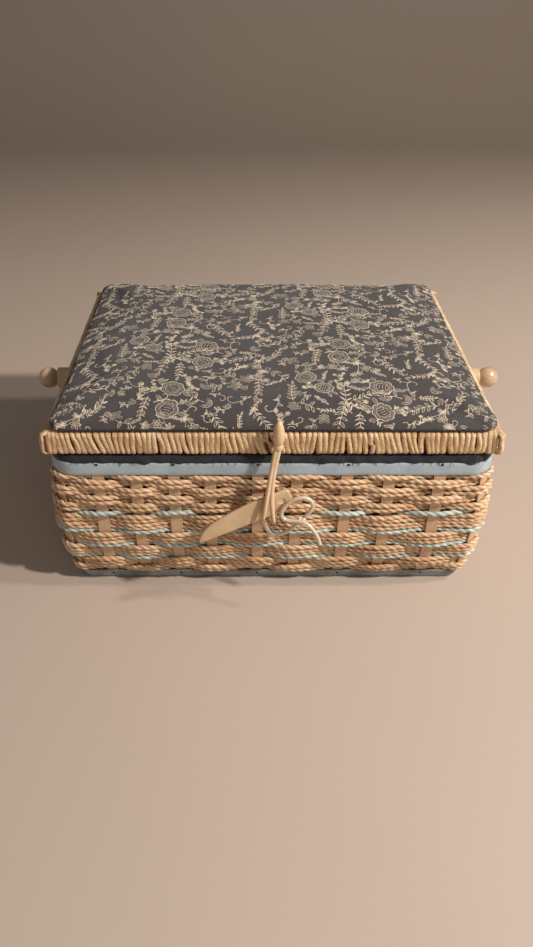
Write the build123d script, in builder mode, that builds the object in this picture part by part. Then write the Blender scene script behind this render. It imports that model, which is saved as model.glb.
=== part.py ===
from build123d import *
from math import acos, cos, degrees, radians, sin, sqrt, tan
import os

# A wicker sewing box: a woven body that bulges between a wooden base and a wooden top frame, and a
# padded lid hinged at the back. +X runs along the front to the viewer's right, +Y to the back and
# +Z up, from the middle of the base's underside. Lengths are in millimetres, angles in degrees.

# Lid
lid_width = 265.0
lid_depth = 208.0
rim_height = 16.0
rim_thickness = 8.0
rim_corner = 6.0
rim_rounding = 2.2
twine = 2.4  # thickness of the twine wound round the lid's frame
fabric = 0.8
lid_board_thickness = 3.0
lid_lining_thickness = 2.6
rim_shown = 3.2  # width of the rim's top that the cover leaves bare
pad_shoulder = 13.0  # how far in the pad's rounded edge reaches
pad_edge_height = 8.0
pad_crown = 4.6  # rise of the middle above the pad's edge
lid_gap = 0.6
fit = 0.1  # play between a piece and the one it is dropped into

# Body
base_thickness = 9.0
weave_height = 79.8
band_height = 8.4
edge_height = 4.6
band_thickness = 0.8
edge_rounding = 1.4
belly_height = 50.0  # level at which the wall stands out furthest
belly_swell = 3.0  # belly beyond the wall's top
base_draw = 9.7  # base inside the belly
body_corner = 17.0  # corner radius in plan at the belly
rim_overhang = 0.4
band_seat = 0.1
board_seat = 0.05
band_foot = 0.4  # height of the base band's lower edge
card = 2.2
liner_corner = 8.0
liner_gap = 0.3

# Slats and courses
slat_width = 7.0
slat_thickness = 1.2
corner_slat_turn = 30.0  # angle that a corner slat wraps
cord = 2.8
cord_play = 0.25  # between a cord and the slat that it passes
straight_past_slat = 1.3  # how far a cord runs on past a slat's edge before it crosses over
course_gap = 0.3
front_places = (-0.885, -0.694, -0.5, -0.316, -0.072, 0.128, 0.383, 0.598, 0.854)
back_slats = 9
side_slats = 7
side_spread = 0.84  # outermost slats of a side, as a share of its straight stretch
# Cords in each course from the top down, and whether it passes outside the first front slat
courses = (
    (1, False), (2, True), (2, False), (2, True), (2, False), (1, True), (4, False),
    (1, False), (3, True), (1, True), (3, False), (1, False), (3, True), (2, False),
)

# Hinges
hinge_place = 75.0
hinge_width = 24.0
knuckle_length = 8.0
knuckle_gap = 0.3
knuckle_radius = 2.2
leaf_thickness = 1.0
leaf_height = 13.0
leaf_seat = 0.1
hinge_pin_radius = 1.1
running_play = 0.08

# Handle
handle_length = 130.0  # pivot to grip
handle_radius = 4.0
handle_bend = 22.0
eye_radius = 7.0
eye_thickness = 9.0
arm_clearance = 1.5  # arms beyond the belly's cords
handle_rest_gap = 0.4
pivot_behind = 7.0  # pivot behind the body's middle
handle_pin_radius = 2.25
spacer_radius = 4.15
side_play = 0.3
knob_radius = 7.2
knob_flat = 6.7  # knob's centre to the flat that faces the arm
knob_bore = 8.0

# Closure
peg_place = 3.0  # X of the peg's tie
peg_stand_off = 4.3
peg_below_top = 6.0  # tie below the rim's top
acorn_radius = 3.35
acorn_height = 14.6
acorn_profile = ((0.86, 0), (0.97, 0.2), (1, 0.42), (0.95, 0.62), (0.8, 0.8), (0.5, 0.94), (0, 1))
collar_radius = 2.5
collar_height = 2.6
leg_radius = 1.35
tie_radius = 0.9
left_leg = ((-1.0, 0.0, 0.0), (-3.6, -5.6, -21.0), (-7.4, -12.4, -44.0))
right_leg = ((0.9, 0.0, 0.0), (-2.2, -5.7, -21.5), (-1.2, -12.4, -45.6))
toggle_place = (6.0, 77.4)  # X and Z of the toggle's hole
toggle_stand_off = 5.2
toggle_thickness = 2.4
toggle_rounding = 0.6
toggle_hole = 1.5
toggle_slope = 25.5  # tip below the horizontal
toggle_lean = 9.0  # tip away from the wall
toggle_length = 57.4
tie_recess = 0.5
tie_sunk = 0.85  # toggle's tie beyond the weave's outermost reach
lacing = 2.4

# Levels
weave_top = base_thickness + weave_height
mouth_top = weave_top + course_gap + band_height
lining_top = mouth_top + edge_height
rim_bottom = lining_top + lid_gap
rim_top = rim_bottom + rim_height
board_bottom = rim_bottom + lid_lining_thickness + lid_gap
board_top = board_bottom + lid_board_thickness

# The wall's middle surface: two arcs that meet upright at the belly
half_difference = (lid_width - lid_depth) / 2
belly_x = lid_width / 2 - rim_overhang - band_thickness - band_seat - slat_thickness / 2 + belly_swell
belly_y = belly_x - half_difference
lower_radius = (base_draw**2 + belly_height**2) / (2 * base_draw)
upper_radius = (belly_swell**2 + (mouth_top - belly_height) ** 2) / (2 * belly_swell)
corner_x = belly_x - body_corner
corner_y = belly_y - body_corner
weave_reach = slat_thickness / 2 + cord_play + cord


def wall_reach(reach, shift, z):
    """Distance of the wall at height z, shift outside its middle surface, where the belly is at reach."""
    radius = lower_radius if z < belly_height else upper_radius
    return reach - radius + sqrt((radius + shift) ** 2 - (z - belly_height) ** 2)


def wall_rectangle(z, shift, mode=Mode.ADD):
    """The wall's plan at height z, shift outside its middle surface."""
    half_x = wall_reach(belly_x, shift, z)
    half_y = wall_reach(belly_y, shift, z)
    RectangleRounded(2 * half_x, 2 * half_y, wall_reach(body_corner, shift, z), mode=mode)


def wall_curve(reach, shift, low, high):
    """Arcs of the wall's upright section from low to high, shift outside its middle surface."""
    spans = []
    if low < belly_height:
        spans.append((low, min(high, belly_height)))
    if high > belly_height:
        spans.append((max(low, belly_height), high))
    for bottom, top in spans:
        heights = (bottom, (bottom + top) / 2, top)
        ThreePointArc(*[(wall_reach(reach, shift, z), z) for z in heights])


def slat_section(plane, reach):
    """Closed upright section of a slat whose middle is at reach at the belly."""
    half = slat_thickness / 2
    with BuildSketch(plane) as section:
        with BuildLine():
            wall_curve(reach, half, band_foot, mouth_top)
            wall_curve(reach, -half, band_foot, mouth_top)
            for z in (band_foot, mouth_top):
                Line((wall_reach(reach, half, z), z), (wall_reach(reach, -half, z), z))
        make_face()
    return section.sketch


def disc(plane, radius):
    """A round face on plane."""
    with BuildSketch(plane) as face:
        Circle(radius)
    return face.sketch


def upright_plane(origin, angle):
    """Upright plane through origin whose X points outward at angle and whose Y points up."""
    outward = Vector(cos(radians(angle)), sin(radians(angle)), 0)
    return Plane(origin=(*origin, 0), x_dir=outward, z_dir=outward.cross(Vector(0, 0, 1)))


def finish(builder, name):
    """Labels a finished piece and writes it."""
    builder.part.label = name
    export_step(builder.part, f"parts/{name}.step")


os.makedirs("parts", exist_ok=True)

# Slats round the body, against the clock from the front left: origin, outward angle, reach, corner
slats = [((corner_x * place, 0), -90, belly_y, False) for place in front_places]
slats.append(((corner_x, -corner_y), -45, body_corner, True))
side_places = [side_spread * (2 * i / (side_slats - 1) - 1) for i in range(side_slats)]
slats += [((0, corner_y * place), 0, belly_x, False) for place in side_places]
slats.append(((corner_x, corner_y), 45, body_corner, True))
back_places = [side_spread * (1 - 2 * i / (back_slats - 1)) for i in range(back_slats)]
slats += [((corner_x * place, 0), 90, belly_y, False) for place in back_places]
slats.append(((-corner_x, corner_y), 135, body_corner, True))
slats += [((0, -corner_y * place), 180, belly_x, False) for place in side_places]
slats.append(((-corner_x, -corner_y), -135, body_corner, True))

for name, side in (("front", -90), ("right", 0), ("back", 90), ("left", 180)):
    with BuildPart() as stakes:
        for origin, angle, reach, corner in slats:
            if angle == side and not corner:
                extrude(slat_section(upright_plane(origin, angle), reach), amount=slat_width / 2, both=True)
    finish(stakes, f"stakes_{name}")

# Corner slats wrap round the corner's upright axis
with BuildPart() as stakes_corners:
    for origin, angle, reach, corner in slats:
        if corner:
            section = slat_section(upright_plane(origin, angle - corner_slat_turn / 2), reach)
            revolve(section, axis=Axis((*origin, 0), (0, 0, 1)), revolution_arc=corner_slat_turn)
finish(stakes_corners, "stakes_corners")


def course_outline(z, first_outside, shift):
    """Plan of a course at height z: past each slat in turn on its outside and its inside."""
    points = []
    half_turn = radians(corner_slat_turn / 2)
    for count, (origin, angle, reach, corner) in enumerate(slats):
        outside = (count % 2 == 0) == first_outside
        distance = wall_reach(reach, 0, z)
        past = slat_width / 2 + straight_past_slat
        sagitta = 0
        if corner:
            past = distance * sin(half_turn) + straight_past_slat
            sagitta = distance * (1 - cos(half_turn))
        lane = slat_thickness / 2 + cord_play + cord / 2
        offset = lane if outside else -lane - sagitta
        outward = Vector(cos(radians(angle)), sin(radians(angle)))
        onward = Vector(-outward.Y, outward.X)
        middle = Vector(*origin) + outward * (distance + offset + shift)
        points += [middle - onward * past, middle + onward * past]
    return points


# Woven courses: bundles of cords that pass the slats by turns, each bundle one closed ring
cord_pitch = (weave_height - course_gap) / sum(count for count, outside in courses)
course_top = weave_top
for number, (cords, first_outside) in enumerate(courses, start=1):
    course_bottom = course_top - cords * cord_pitch
    with BuildPart() as course:
        for z in (course_bottom + course_gap, course_top):
            with BuildSketch(Plane.XY.offset(z)):
                Polygon(*course_outline(z, first_outside, cord / 2), align=None)
                Polygon(*course_outline(z, first_outside, -cord / 2), align=None, mode=Mode.SUBTRACT)
        loft(ruled=True)
    finish(course, f"weave_course_{number:02d}")
    course_top = course_bottom

# Base: a bevelled board with a tape round its edge, over the slats' nailed ends
with BuildPart() as base_board:
    for z in (0, base_thickness):
        with BuildSketch(Plane.XY.offset(z)):
            wall_rectangle(z, -slat_thickness / 2 - board_seat)
    loft(ruled=True)
finish(base_board, "base_board")


def band(low, high):
    """A tape round the outside of the slats."""
    with BuildPart() as tape:
        for z in (low, high):
            with BuildSketch(Plane.XY.offset(z)):
                wall_rectangle(z, slat_thickness / 2 + band_seat + band_thickness)
                wall_rectangle(z, slat_thickness / 2 + band_seat, mode=Mode.SUBTRACT)
        loft(ruled=True)
    return tape


finish(band(band_foot, base_thickness), "base_band")

# Card box inside the slats, with its fabric lining
liner_x = wall_reach(belly_x, 0, base_thickness) - weave_reach - liner_gap
liner_y = liner_x - half_difference
with BuildPart() as card_liner:
    with BuildSketch(Plane.XY.offset(base_thickness)):
        RectangleRounded(2 * liner_x, 2 * liner_y, liner_corner)
    extrude(amount=mouth_top - base_thickness)
    mouth = card_liner.faces().sort_by(Axis.Z)[-1]
    offset(amount=-card, openings=mouth)
finish(card_liner, "card_liner")

lining_x = liner_x - card
lining_y = liner_y - card
with BuildPart() as lining:
    with BuildSketch(Plane.XY.offset(base_thickness + card)):
        RectangleRounded(2 * lining_x, 2 * lining_y, liner_corner - card)
    extrude(amount=mouth_top - base_thickness - card)
    mouth = lining.faces().sort_by(Axis.Z)[-1]
    offset(amount=-fabric, openings=mouth)
finish(lining, "lining")

# Top frame between the card and the slats, bored for the handle's pins
pivot_z = mouth_top - band_height / 2
pin_inner = liner_x + card
arm_inner = belly_x + weave_reach + arm_clearance
arm_x = arm_inner + eye_thickness / 2
knob_x = arm_inner + eye_thickness + side_play + knob_flat
pin_outer = knob_x - knob_flat + knob_bore
pin_plane = Plane(origin=(0, pivot_behind, pivot_z), x_dir=(0, 1, 0), z_dir=(1, 0, 0))


def pin_bore():
    """Bore for the handle's pins right across the box, cut from the part in hand."""
    section = disc(pin_plane, handle_pin_radius + running_play)
    extrude(section, amount=lid_width, both=True, mode=Mode.SUBTRACT)


with BuildPart() as top_frame:
    for z in (mouth_top - band_height, mouth_top):
        with BuildSketch(Plane.XY.offset(z)):
            wall_rectangle(z, -slat_thickness / 2 - board_seat)
            RectangleRounded(2 * liner_x + fit, 2 * liner_y + fit, liner_corner, mode=Mode.SUBTRACT)
    loft(ruled=True)
    pin_bore()
finish(top_frame, "top_frame")

with BuildPart() as top_band:
    add(band(mouth_top - band_height, mouth_top).part)
    pin_bore()
finish(top_band, "top_band")

# Lining folded over the mouth
edge_x = wall_reach(belly_x, slat_thickness / 2 + band_seat + band_thickness, mouth_top)
edge_corner = wall_reach(body_corner, slat_thickness / 2, mouth_top)
with BuildPart() as lining_edge:
    with BuildSketch(Plane.XY.offset(mouth_top)):
        RectangleRounded(2 * edge_x, 2 * (edge_x - half_difference), edge_corner)
        RectangleRounded(2 * (lining_x - fabric), 2 * (lining_y - fabric), liner_corner - card - fabric,
                         mode=Mode.SUBTRACT)
    extrude(amount=edge_height)
    chamfer(lining_edge.edges().group_by(Axis.Z)[-1], edge_rounding)
finish(lining_edge, "lining_edge")


def lid_rectangle(inset, corner, mode=Mode.ADD):
    """The lid's plan, inset from the rim's outside."""
    RectangleRounded(lid_width - 2 * inset, lid_depth - 2 * inset, corner, mode=mode)


# Lid: a strip frame wound with twine, and a board inside it
inner_corner = rim_corner / 2
with BuildPart() as lid_frame:
    with BuildSketch(Plane.XY.offset(rim_bottom + twine)):
        lid_rectangle(twine, rim_corner - twine)
        lid_rectangle(rim_thickness - twine, inner_corner, mode=Mode.SUBTRACT)
    extrude(amount=rim_height - 2 * twine)
finish(lid_frame, "lid_frame")

with BuildPart() as lid_rim_wrap:
    with BuildSketch(Plane.XY.offset(rim_bottom)):
        lid_rectangle(0, rim_corner)
        lid_rectangle(rim_thickness, inner_corner, mode=Mode.SUBTRACT)
    extrude(amount=rim_height)
    rim_edges = lid_rim_wrap.edges().group_by(Axis.Z)
    chamfer(rim_edges[0] + rim_edges[-1], rim_rounding)
    add(lid_frame.part, mode=Mode.SUBTRACT)
finish(lid_rim_wrap, "lid_rim_wrap")

cover_inset = rim_thickness + fit
pad_inset = cover_inset + fabric
with BuildPart() as lid_board:
    with BuildSketch(Plane.XY.offset(board_bottom)):
        lid_rectangle(pad_inset, inner_corner)
    extrude(amount=lid_board_thickness)
finish(lid_board, "lid_board")

with BuildPart() as lid_lining:
    with BuildSketch(Plane.XY.offset(board_bottom - lid_lining_thickness)):
        lid_rectangle(pad_inset, inner_corner)
    extrude(amount=lid_lining_thickness)
    chamfer(lid_lining.edges().group_by(Axis.Z)[0], lid_lining_thickness / 2)
finish(lid_lining, "lid_lining")


def pad_ring(z, inset, corner):
    """The lid's plan at height z, inset from the rim's outside, with each corner in three straight steps."""
    half_x = lid_width / 2 - inset - corner
    half_y = lid_depth / 2 - inset - corner
    points = []
    for turn, side_x, side_y in ((0, 1, 1), (90, -1, 1), (180, -1, -1), (270, 1, -1)):
        for step in (0, 30, 60, 90):
            angle = radians(turn + step)
            points.append((side_x * half_x + corner * cos(angle), side_y * half_y + corner * sin(angle)))
    with BuildSketch(Plane.XY.offset(z)) as ring:
        Polygon(*points, align=None)
    return ring.sketch


def pillow(lower_inset, seat, lip, inset, low):
    """A crowned pad: a stem inside the rim from low to seat, and above it the swollen part."""
    shoulder = [(1 - cos(radians(turn)), sin(radians(turn))) for turn in (0, 30, 60, 90)]
    rings = [(inset + pad_shoulder * across, lip + pad_edge_height * up) for across, up in shoulder]
    edge_inset, edge_z = rings[-1]
    for across, up in ((0.35, 0.6), (0.85, 1)):
        rings.append((edge_inset + across * (lid_depth / 2 - edge_inset), edge_z + pad_crown * up))
    with BuildPart() as pad:
        extrude(pad_ring(low, lower_inset, inner_corner), amount=seat - low)
        loft([pad_ring(z, ring_inset, rim_corner) for ring_inset, z in [(inset, seat), *rings]], ruled=True)
    return pad.part


pad_seat = rim_top + fit
with BuildPart() as lid_pad:
    add(pillow(pad_inset, pad_seat + fabric, pad_seat + 2 * fabric, rim_shown + fabric, board_top))
finish(lid_pad, "lid_pad")

with BuildPart() as lid_cover:
    add(pillow(cover_inset, pad_seat, pad_seat + 3 * fabric, rim_shown, board_bottom))
    add(lid_pad.part, mode=Mode.SUBTRACT)
    add(lid_board.part, mode=Mode.SUBTRACT)
finish(lid_cover, "lid_cover")

# Butt hinges at the back, with the lid's knuckle between the body's two
hinge_y = lid_depth / 2 + knuckle_radius
hinge_z = rim_bottom - lid_gap / 2


hinge_plane = Plane(origin=(0, hinge_y, hinge_z), x_dir=(0, 1, 0), z_dir=(1, 0, 0))


def knuckle(place, length):
    """A knuckle of length on the hinge's axis, with its middle at X = place."""
    extrude(disc(hinge_plane.offset(place), knuckle_radius), amount=length / 2, both=True)


def hinge_bore():
    """Bores both hinges' knuckles for their pins."""
    pin_hole = disc(hinge_plane, hinge_pin_radius + running_play)
    extrude(pin_hole, amount=lid_width, both=True, mode=Mode.SUBTRACT)


def leaf(place, width, face, low, high):
    """A leaf's plate, with its inner side at Y = face."""
    with Locations((place, face + leaf_thickness / 2, (low + high) / 2)):
        Box(width, leaf_thickness, high - low)


outer_knuckle = (hinge_width - knuckle_length) / 2 - knuckle_gap
outer_place = (hinge_width - outer_knuckle) / 2
leaf_rise = knuckle_radius + knuckle_gap
with BuildPart() as lid_hinge_leaves:
    for place in (-hinge_place, hinge_place):
        leaf(place, hinge_width, lid_depth / 2, hinge_z + leaf_rise, hinge_z + leaf_height)
        leaf(place, knuckle_length, lid_depth / 2, hinge_z, hinge_z + leaf_rise)
        knuckle(place, knuckle_length)
    hinge_bore()
finish(lid_hinge_leaves, "lid_hinge_leaves")

band_out = slat_thickness / 2 + band_seat + band_thickness
body_face = wall_reach(belly_y, band_out, mouth_top - band_height) + leaf_seat
with BuildPart() as body_hinge_leaves:
    for place in (-hinge_place, hinge_place):
        leaf(place, hinge_width, body_face, mouth_top - band_height, hinge_z - leaf_rise)
        for side in (-1, 1):
            knuckle_place = place + side * outer_place
            leaf(knuckle_place, outer_knuckle, body_face, hinge_z - leaf_rise, hinge_z)
            knuckle(knuckle_place, outer_knuckle)
    hinge_bore()
finish(body_hinge_leaves, "body_hinge_leaves")

with BuildPart() as hinge_pins:
    for place in (-hinge_place, hinge_place):
        extrude(disc(hinge_plane.offset(place), hinge_pin_radius), amount=hinge_width / 2, both=True)
finish(hinge_pins, "hinge_pins")

# Swing handle, folded back and down until its grip lies against the body
grip_out = handle_radius + handle_rest_gap
rest_angle = 30.0
for step in range(30):
    grip_z = pivot_z - handle_length * sin(radians(rest_angle))
    lean = 1 / sqrt(1 - ((grip_z - belly_height) / (lower_radius + weave_reach)) ** 2)
    grip_y = wall_reach(belly_y, weave_reach, grip_z) + grip_out * lean
    rest_angle = degrees(acos((grip_y - pivot_behind) / handle_length))
back_and_down = Vector(0, cos(radians(rest_angle)), -sin(radians(rest_angle)))
handle_plane = Plane(
    origin=(0, pivot_behind, pivot_z), x_dir=(1, 0, 0), z_dir=Vector(1, 0, 0).cross(back_and_down)
)
grip_line = handle_plane.from_local_coords((0, handle_length, 0))
bend_line = handle_plane.from_local_coords((0, handle_length - handle_bend, 0))
with BuildPart() as handle:
    extrude(disc(Plane(origin=grip_line, z_dir=(1, 0, 0)), handle_radius), amount=arm_x - handle_bend, both=True)
    for side in (-1, 1):
        arm_foot = Vector(side * arm_x, pivot_behind, pivot_z)
        arm_section = disc(Plane(origin=arm_foot, z_dir=back_and_down), handle_radius)
        extrude(arm_section, amount=handle_length - handle_bend)
        arm_end = Plane(origin=bend_line + Vector(side * arm_x, 0, 0), z_dir=back_and_down)
        bend_axis = Axis(bend_line + Vector(side * (arm_x - handle_bend), 0, 0), handle_plane.z_dir * side)
        revolve(disc(arm_end, handle_radius), axis=bend_axis, revolution_arc=90)
        extrude(disc(pin_plane.offset(side * arm_x), eye_radius), amount=eye_thickness / 2, both=True)
    pin_bore()
finish(handle, "handle")

with BuildPart() as handle_pins:
    for side in (-1, 1):
        extrude(disc(pin_plane.offset(side * pin_inner), handle_pin_radius), amount=side * (pin_outer - pin_inner))
finish(handle_pins, "handle_pins")

spacer_inner = wall_reach(belly_x, band_out, mouth_top - band_height) + fit
with BuildPart() as handle_spacers:
    for side in (-1, 1):
        with BuildSketch(pin_plane.offset(side * spacer_inner)):
            Circle(spacer_radius)
            Circle(handle_pin_radius + running_play, mode=Mode.SUBTRACT)
        extrude(amount=side * (arm_inner - side_play - spacer_inner))
finish(handle_spacers, "handle_spacers")

with BuildPart() as handle_knobs:
    for side in (-1, 1):
        with Locations((side * knob_x, pivot_behind, pivot_z)):
            Sphere(knob_radius)
        flat = pin_plane.offset(side * (knob_x - knob_flat))
        extrude(disc(flat, knob_radius), amount=-side * knob_radius, mode=Mode.SUBTRACT)
        pin_hole = disc(flat, handle_pin_radius + running_play)
        extrude(pin_hole, amount=side * (knob_bore + side_play), mode=Mode.SUBTRACT)
finish(handle_knobs, "handle_knobs")

# Latch peg: an acorn head and a collar at the rim, and two legs that lean out over the toggle
peg_y = -lid_depth / 2 - peg_stand_off
peg_z = rim_top - peg_below_top
peg_origin = Vector(peg_place, peg_y, peg_z)
with BuildPart() as latch_peg:
    with BuildSketch(Plane(origin=peg_origin, x_dir=(1, 0, 0), z_dir=(0, -1, 0))):
        with BuildLine():
            bottom = collar_height * 0.75
            head = [(acorn_radius * across, bottom + acorn_height * up) for across, up in acorn_profile]
            Polyline((0, -collar_height), (collar_radius * 0.8, -collar_height), (collar_radius, 0),
                     (collar_radius, bottom), *head, close=True)
        make_face()
    revolve(axis=Axis(peg_origin, (0, 0, 1)))
    for leg in (left_leg, right_leg):
        top, knee, foot = [peg_origin + Vector(*point) for point in leg]
        for start, end in ((top, knee), (knee, foot)):
            extrude(disc(Plane(origin=start, z_dir=end - start), leg_radius), amount=(end - start).length)
        with Locations(Plane(origin=foot, z_dir=foot - knee).location):
            Cone(leg_radius, leg_radius / 2, leg_radius / 2, align=(Align.CENTER, Align.CENTER, Align.MIN))
    with BuildSketch(Plane(origin=peg_origin, x_dir=(1, 0, 0), z_dir=(0, 1, 0))):
        Circle(tie_radius + running_play)
    extrude(amount=peg_stand_off, mode=Mode.SUBTRACT)
finish(latch_peg, "latch_peg")

with BuildPart() as latch_tie:
    with BuildSketch(Plane(origin=(peg_place, -lid_depth / 2, peg_z), x_dir=(1, 0, 0), z_dir=(0, -1, 0))):
        Circle(tie_radius)
    extrude(amount=peg_stand_off - fit)
finish(latch_tie, "latch_tie")

# Toggle: a leaf that hangs from its hole, with its tip down to the left and away from the wall
toggle_x, toggle_z = toggle_place
toggle_y = -wall_reach(belly_y, weave_reach, toggle_z) - toggle_stand_off
slope = radians(toggle_slope)
lean = radians(toggle_lean)
toggle_along = Vector(-cos(lean) * cos(slope), -sin(lean), -cos(lean) * sin(slope))
toggle_across = Vector(-sin(slope), 0, cos(slope))
toggle_plane = Plane(
    origin=(toggle_x, toggle_y, toggle_z), x_dir=toggle_along, z_dir=toggle_along.cross(toggle_across)
)
with BuildPart() as toggle:
    with BuildSketch(toggle_plane):
        with BuildLine():
            upper = TangentArc((-6.4, 5.6), (44, 6.6), tangent=(1, 0.18))
            TangentArc((44, 6.6), (toggle_length, -2.2), tangent=upper % 1)
            lower = Line((toggle_length, -2.2), (4, -7))
            TangentArc((4, -7), (-5.6, -3), tangent=lower % 1)
            Line((-5.6, -3), (-6.4, 5.6))
        make_face()
        Circle(toggle_hole, mode=Mode.SUBTRACT)
    extrude(amount=toggle_thickness / 2, both=True)
    broad_faces = toggle.faces().sort_by(lambda face: face.area)[-2:]
    chamfer([face.outer_wire().edges() for face in broad_faces], length=toggle_rounding)
finish(toggle, "toggle")

with BuildPart() as toggle_tie:
    with BuildSketch(toggle_plane.offset(-toggle_thickness / 2 + tie_recess)):
        Circle(toggle_hole - running_play)
    extrude(amount=toggle_thickness / 2 - tie_recess + toggle_stand_off + tie_sunk)
finish(toggle_tie, "toggle_tie")

# Plastic lacing: out of the weave, a loop, a knot, a second loop over the toggle, and a free end
lacing_route = (
    (-8.4, -105.4, 77.4), (-8.1, -109.7, 76.0), (-6.7, -110.6, 70.4), (-5.3, -111.0, 63.2), (-3.9, -111.6, 55.4),
    (0.8, -112.0, 48.4), (7.0, -112.2, 50.6), (12.6, -114.5, 57.0), (17.6, -117.3, 65.6),
    (22.4, -117.6, 72.2), (24.4, -117.2, 77.4), (21.2, -116.8, 81.6), (15.0, -116.5, 82.0),
    (9.0, -116.3, 77.6), (5.2, -117.0, 71.6), (5.8, -117.5, 67.4), (9.6, -118.2, 65.6),
    (15.2, -119.8, 66.6), (20.2, -121.0, 66.4), (24.6, -123.2, 62.4), (27.4, -125.4, 58.4),
    (28.4, -126.5, 54.4),
)
knot_place = (17.4, -118.6, 66.2)
knot_radii = (3.0, 2.8)


def bend_radii(points):
    """The largest arc that each corner's runs allow."""
    radii = []
    for before, corner, after in zip(points, points[1:], points[2:]):
        arriving = Vector(*corner) - Vector(*before)
        leaving = Vector(*after) - Vector(*corner)
        half_turn = radians(arriving.get_angle(leaving)) / 2
        radii.append(0.45 * min(arriving.length, leaving.length) / tan(half_turn))
    return radii


lacing_bends = bend_radii(lacing_route)
print("Lacing's bend radii:", [round(radius, 1) for radius in lacing_bends])
with BuildPart() as lacing_tube:
    with BuildLine() as lacing_line:
        FilletPolyline(*lacing_route, radius=lacing_bends)
    with BuildSketch(Plane(origin=lacing_line.line @ 0, z_dir=lacing_line.line % 0)) as lacing_section:
        RegularPolygon(lacing / 2, side_count=6)
    sweep(path=lacing_line.line)
tube_volume = sum(edge.length for edge in lacing_line.edges()) * lacing_section.sketch.area
print("Lacing's volume, and section by length:", round(lacing_tube.part.volume, 2), round(tube_volume, 2))
finish(lacing_tube, "lacing")

with BuildPart() as lacing_knot:
    with BuildSketch(Plane(origin=knot_place, x_dir=(1, 0, 0), z_dir=(0, -1, 0))):
        half_length, reach = knot_radii
        Polygon((-half_length, 0), (half_length, 0), (half_length * 0.7, reach * 0.7), (0, reach),
                (-half_length * 0.7, reach * 0.7), align=None)
    revolve(axis=Axis(knot_place, (1, 0, 0)))
finish(lacing_knot, "lacing_knot")
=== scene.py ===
import math
import random

import bpy
import numpy as np
from mathutils import Euler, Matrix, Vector
from mathutils.bvhtree import BVHTree


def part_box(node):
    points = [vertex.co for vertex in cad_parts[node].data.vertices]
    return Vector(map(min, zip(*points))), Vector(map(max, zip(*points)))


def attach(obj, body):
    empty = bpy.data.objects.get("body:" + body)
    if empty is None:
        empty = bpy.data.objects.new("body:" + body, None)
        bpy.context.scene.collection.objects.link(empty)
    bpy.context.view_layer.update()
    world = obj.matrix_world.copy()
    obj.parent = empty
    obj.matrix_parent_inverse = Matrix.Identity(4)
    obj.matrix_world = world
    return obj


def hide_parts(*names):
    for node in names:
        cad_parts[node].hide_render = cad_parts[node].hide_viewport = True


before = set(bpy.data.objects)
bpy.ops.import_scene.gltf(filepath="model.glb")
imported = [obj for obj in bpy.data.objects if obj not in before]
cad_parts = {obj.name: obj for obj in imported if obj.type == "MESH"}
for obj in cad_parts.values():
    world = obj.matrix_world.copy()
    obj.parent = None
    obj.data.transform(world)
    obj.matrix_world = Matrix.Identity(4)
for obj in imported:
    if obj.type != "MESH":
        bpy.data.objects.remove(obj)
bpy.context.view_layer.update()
scene = bpy.context.scene
scene.view_settings.view_transform = "Standard"
print("Frame loaded:", len(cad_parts), "nodes")

# The wall that the slats follow: two arcs that meet upright at the belly
wall = {
    "bellyX": 0.1336,
    "bellyY": 0.1051,
    "bellyHeight": 0.050,
    "corner": 0.017,
    "lowerRadius": 0.13371,
    "upperRadius": 0.37754,
    "slat": 0.0012,
}
cornerX = wall["bellyX"] - wall["corner"]
cornerY = wall["bellyY"] - wall["corner"]


# Helpers for lines and meshes

# Smooth closed noise of unit size, with up to waves swings round the ring
def ringNoise(count, waves, rng):
    spectrum = np.zeros(count // 2 + 1, complex)
    waves = max(2, min(int(waves), count // 2))
    phases = rng.uniform(0, 2 * np.pi, waves)
    spectrum[1:waves + 1] = rng.uniform(0.4, 1.0, waves) * np.exp(1j * phases)
    line = np.fft.irfft(spectrum, count)
    return line / line.std()


# Closed line smoothed by a bell curve spread samples wide
def smoothRing(line, spread):
    reach = int(3 * spread) + 1
    kernel = np.exp(-0.5 * (np.arange(-reach, reach + 1) / spread) ** 2)
    kernel /= kernel.sum()
    padded = np.concatenate([line[-reach:], line, line[:reach]])
    return np.stack([np.convolve(column, kernel, "valid") for column in padded.T], 1)


# Closed line at count even steps, and its length
def resampleRing(line, count):
    closed = np.vstack([line, line[:1]])
    places = np.concatenate([[0], np.cumsum(np.linalg.norm(np.diff(closed, axis=0), axis=1))])
    wanted = np.linspace(0, places[-1], count, endpoint=False)
    return np.stack([np.interp(wanted, places, column) for column in closed.T], 1), places[-1]


# Directions along a closed line
def ringAhead(line):
    ahead = np.roll(line, -1, 0) - np.roll(line, 1, 0)
    return ahead / np.linalg.norm(ahead, axis=1)[:, None]


# Smooth line from the first point to the last, drawn towards the inner ones
def bezier(points, count):
    steps = np.linspace(0, 1, count)[:, None]
    level = [np.repeat(point[None], count, 0) for point in np.asarray(points, float)]
    while len(level) > 1:
        level = [one * (1 - steps) + two * steps for one, two in zip(level, level[1:])]
    return level[0]


# Distance of the wall at height, shift outside its middle surface
def wallReach(reach, shift, height):
    rise = np.asarray(height) - wall["bellyHeight"]
    radius = np.where(rise < 0, wall["lowerRadius"], wall["upperRadius"])
    return reach - radius + np.sqrt((radius + shift) ** 2 - rise**2)


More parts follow.
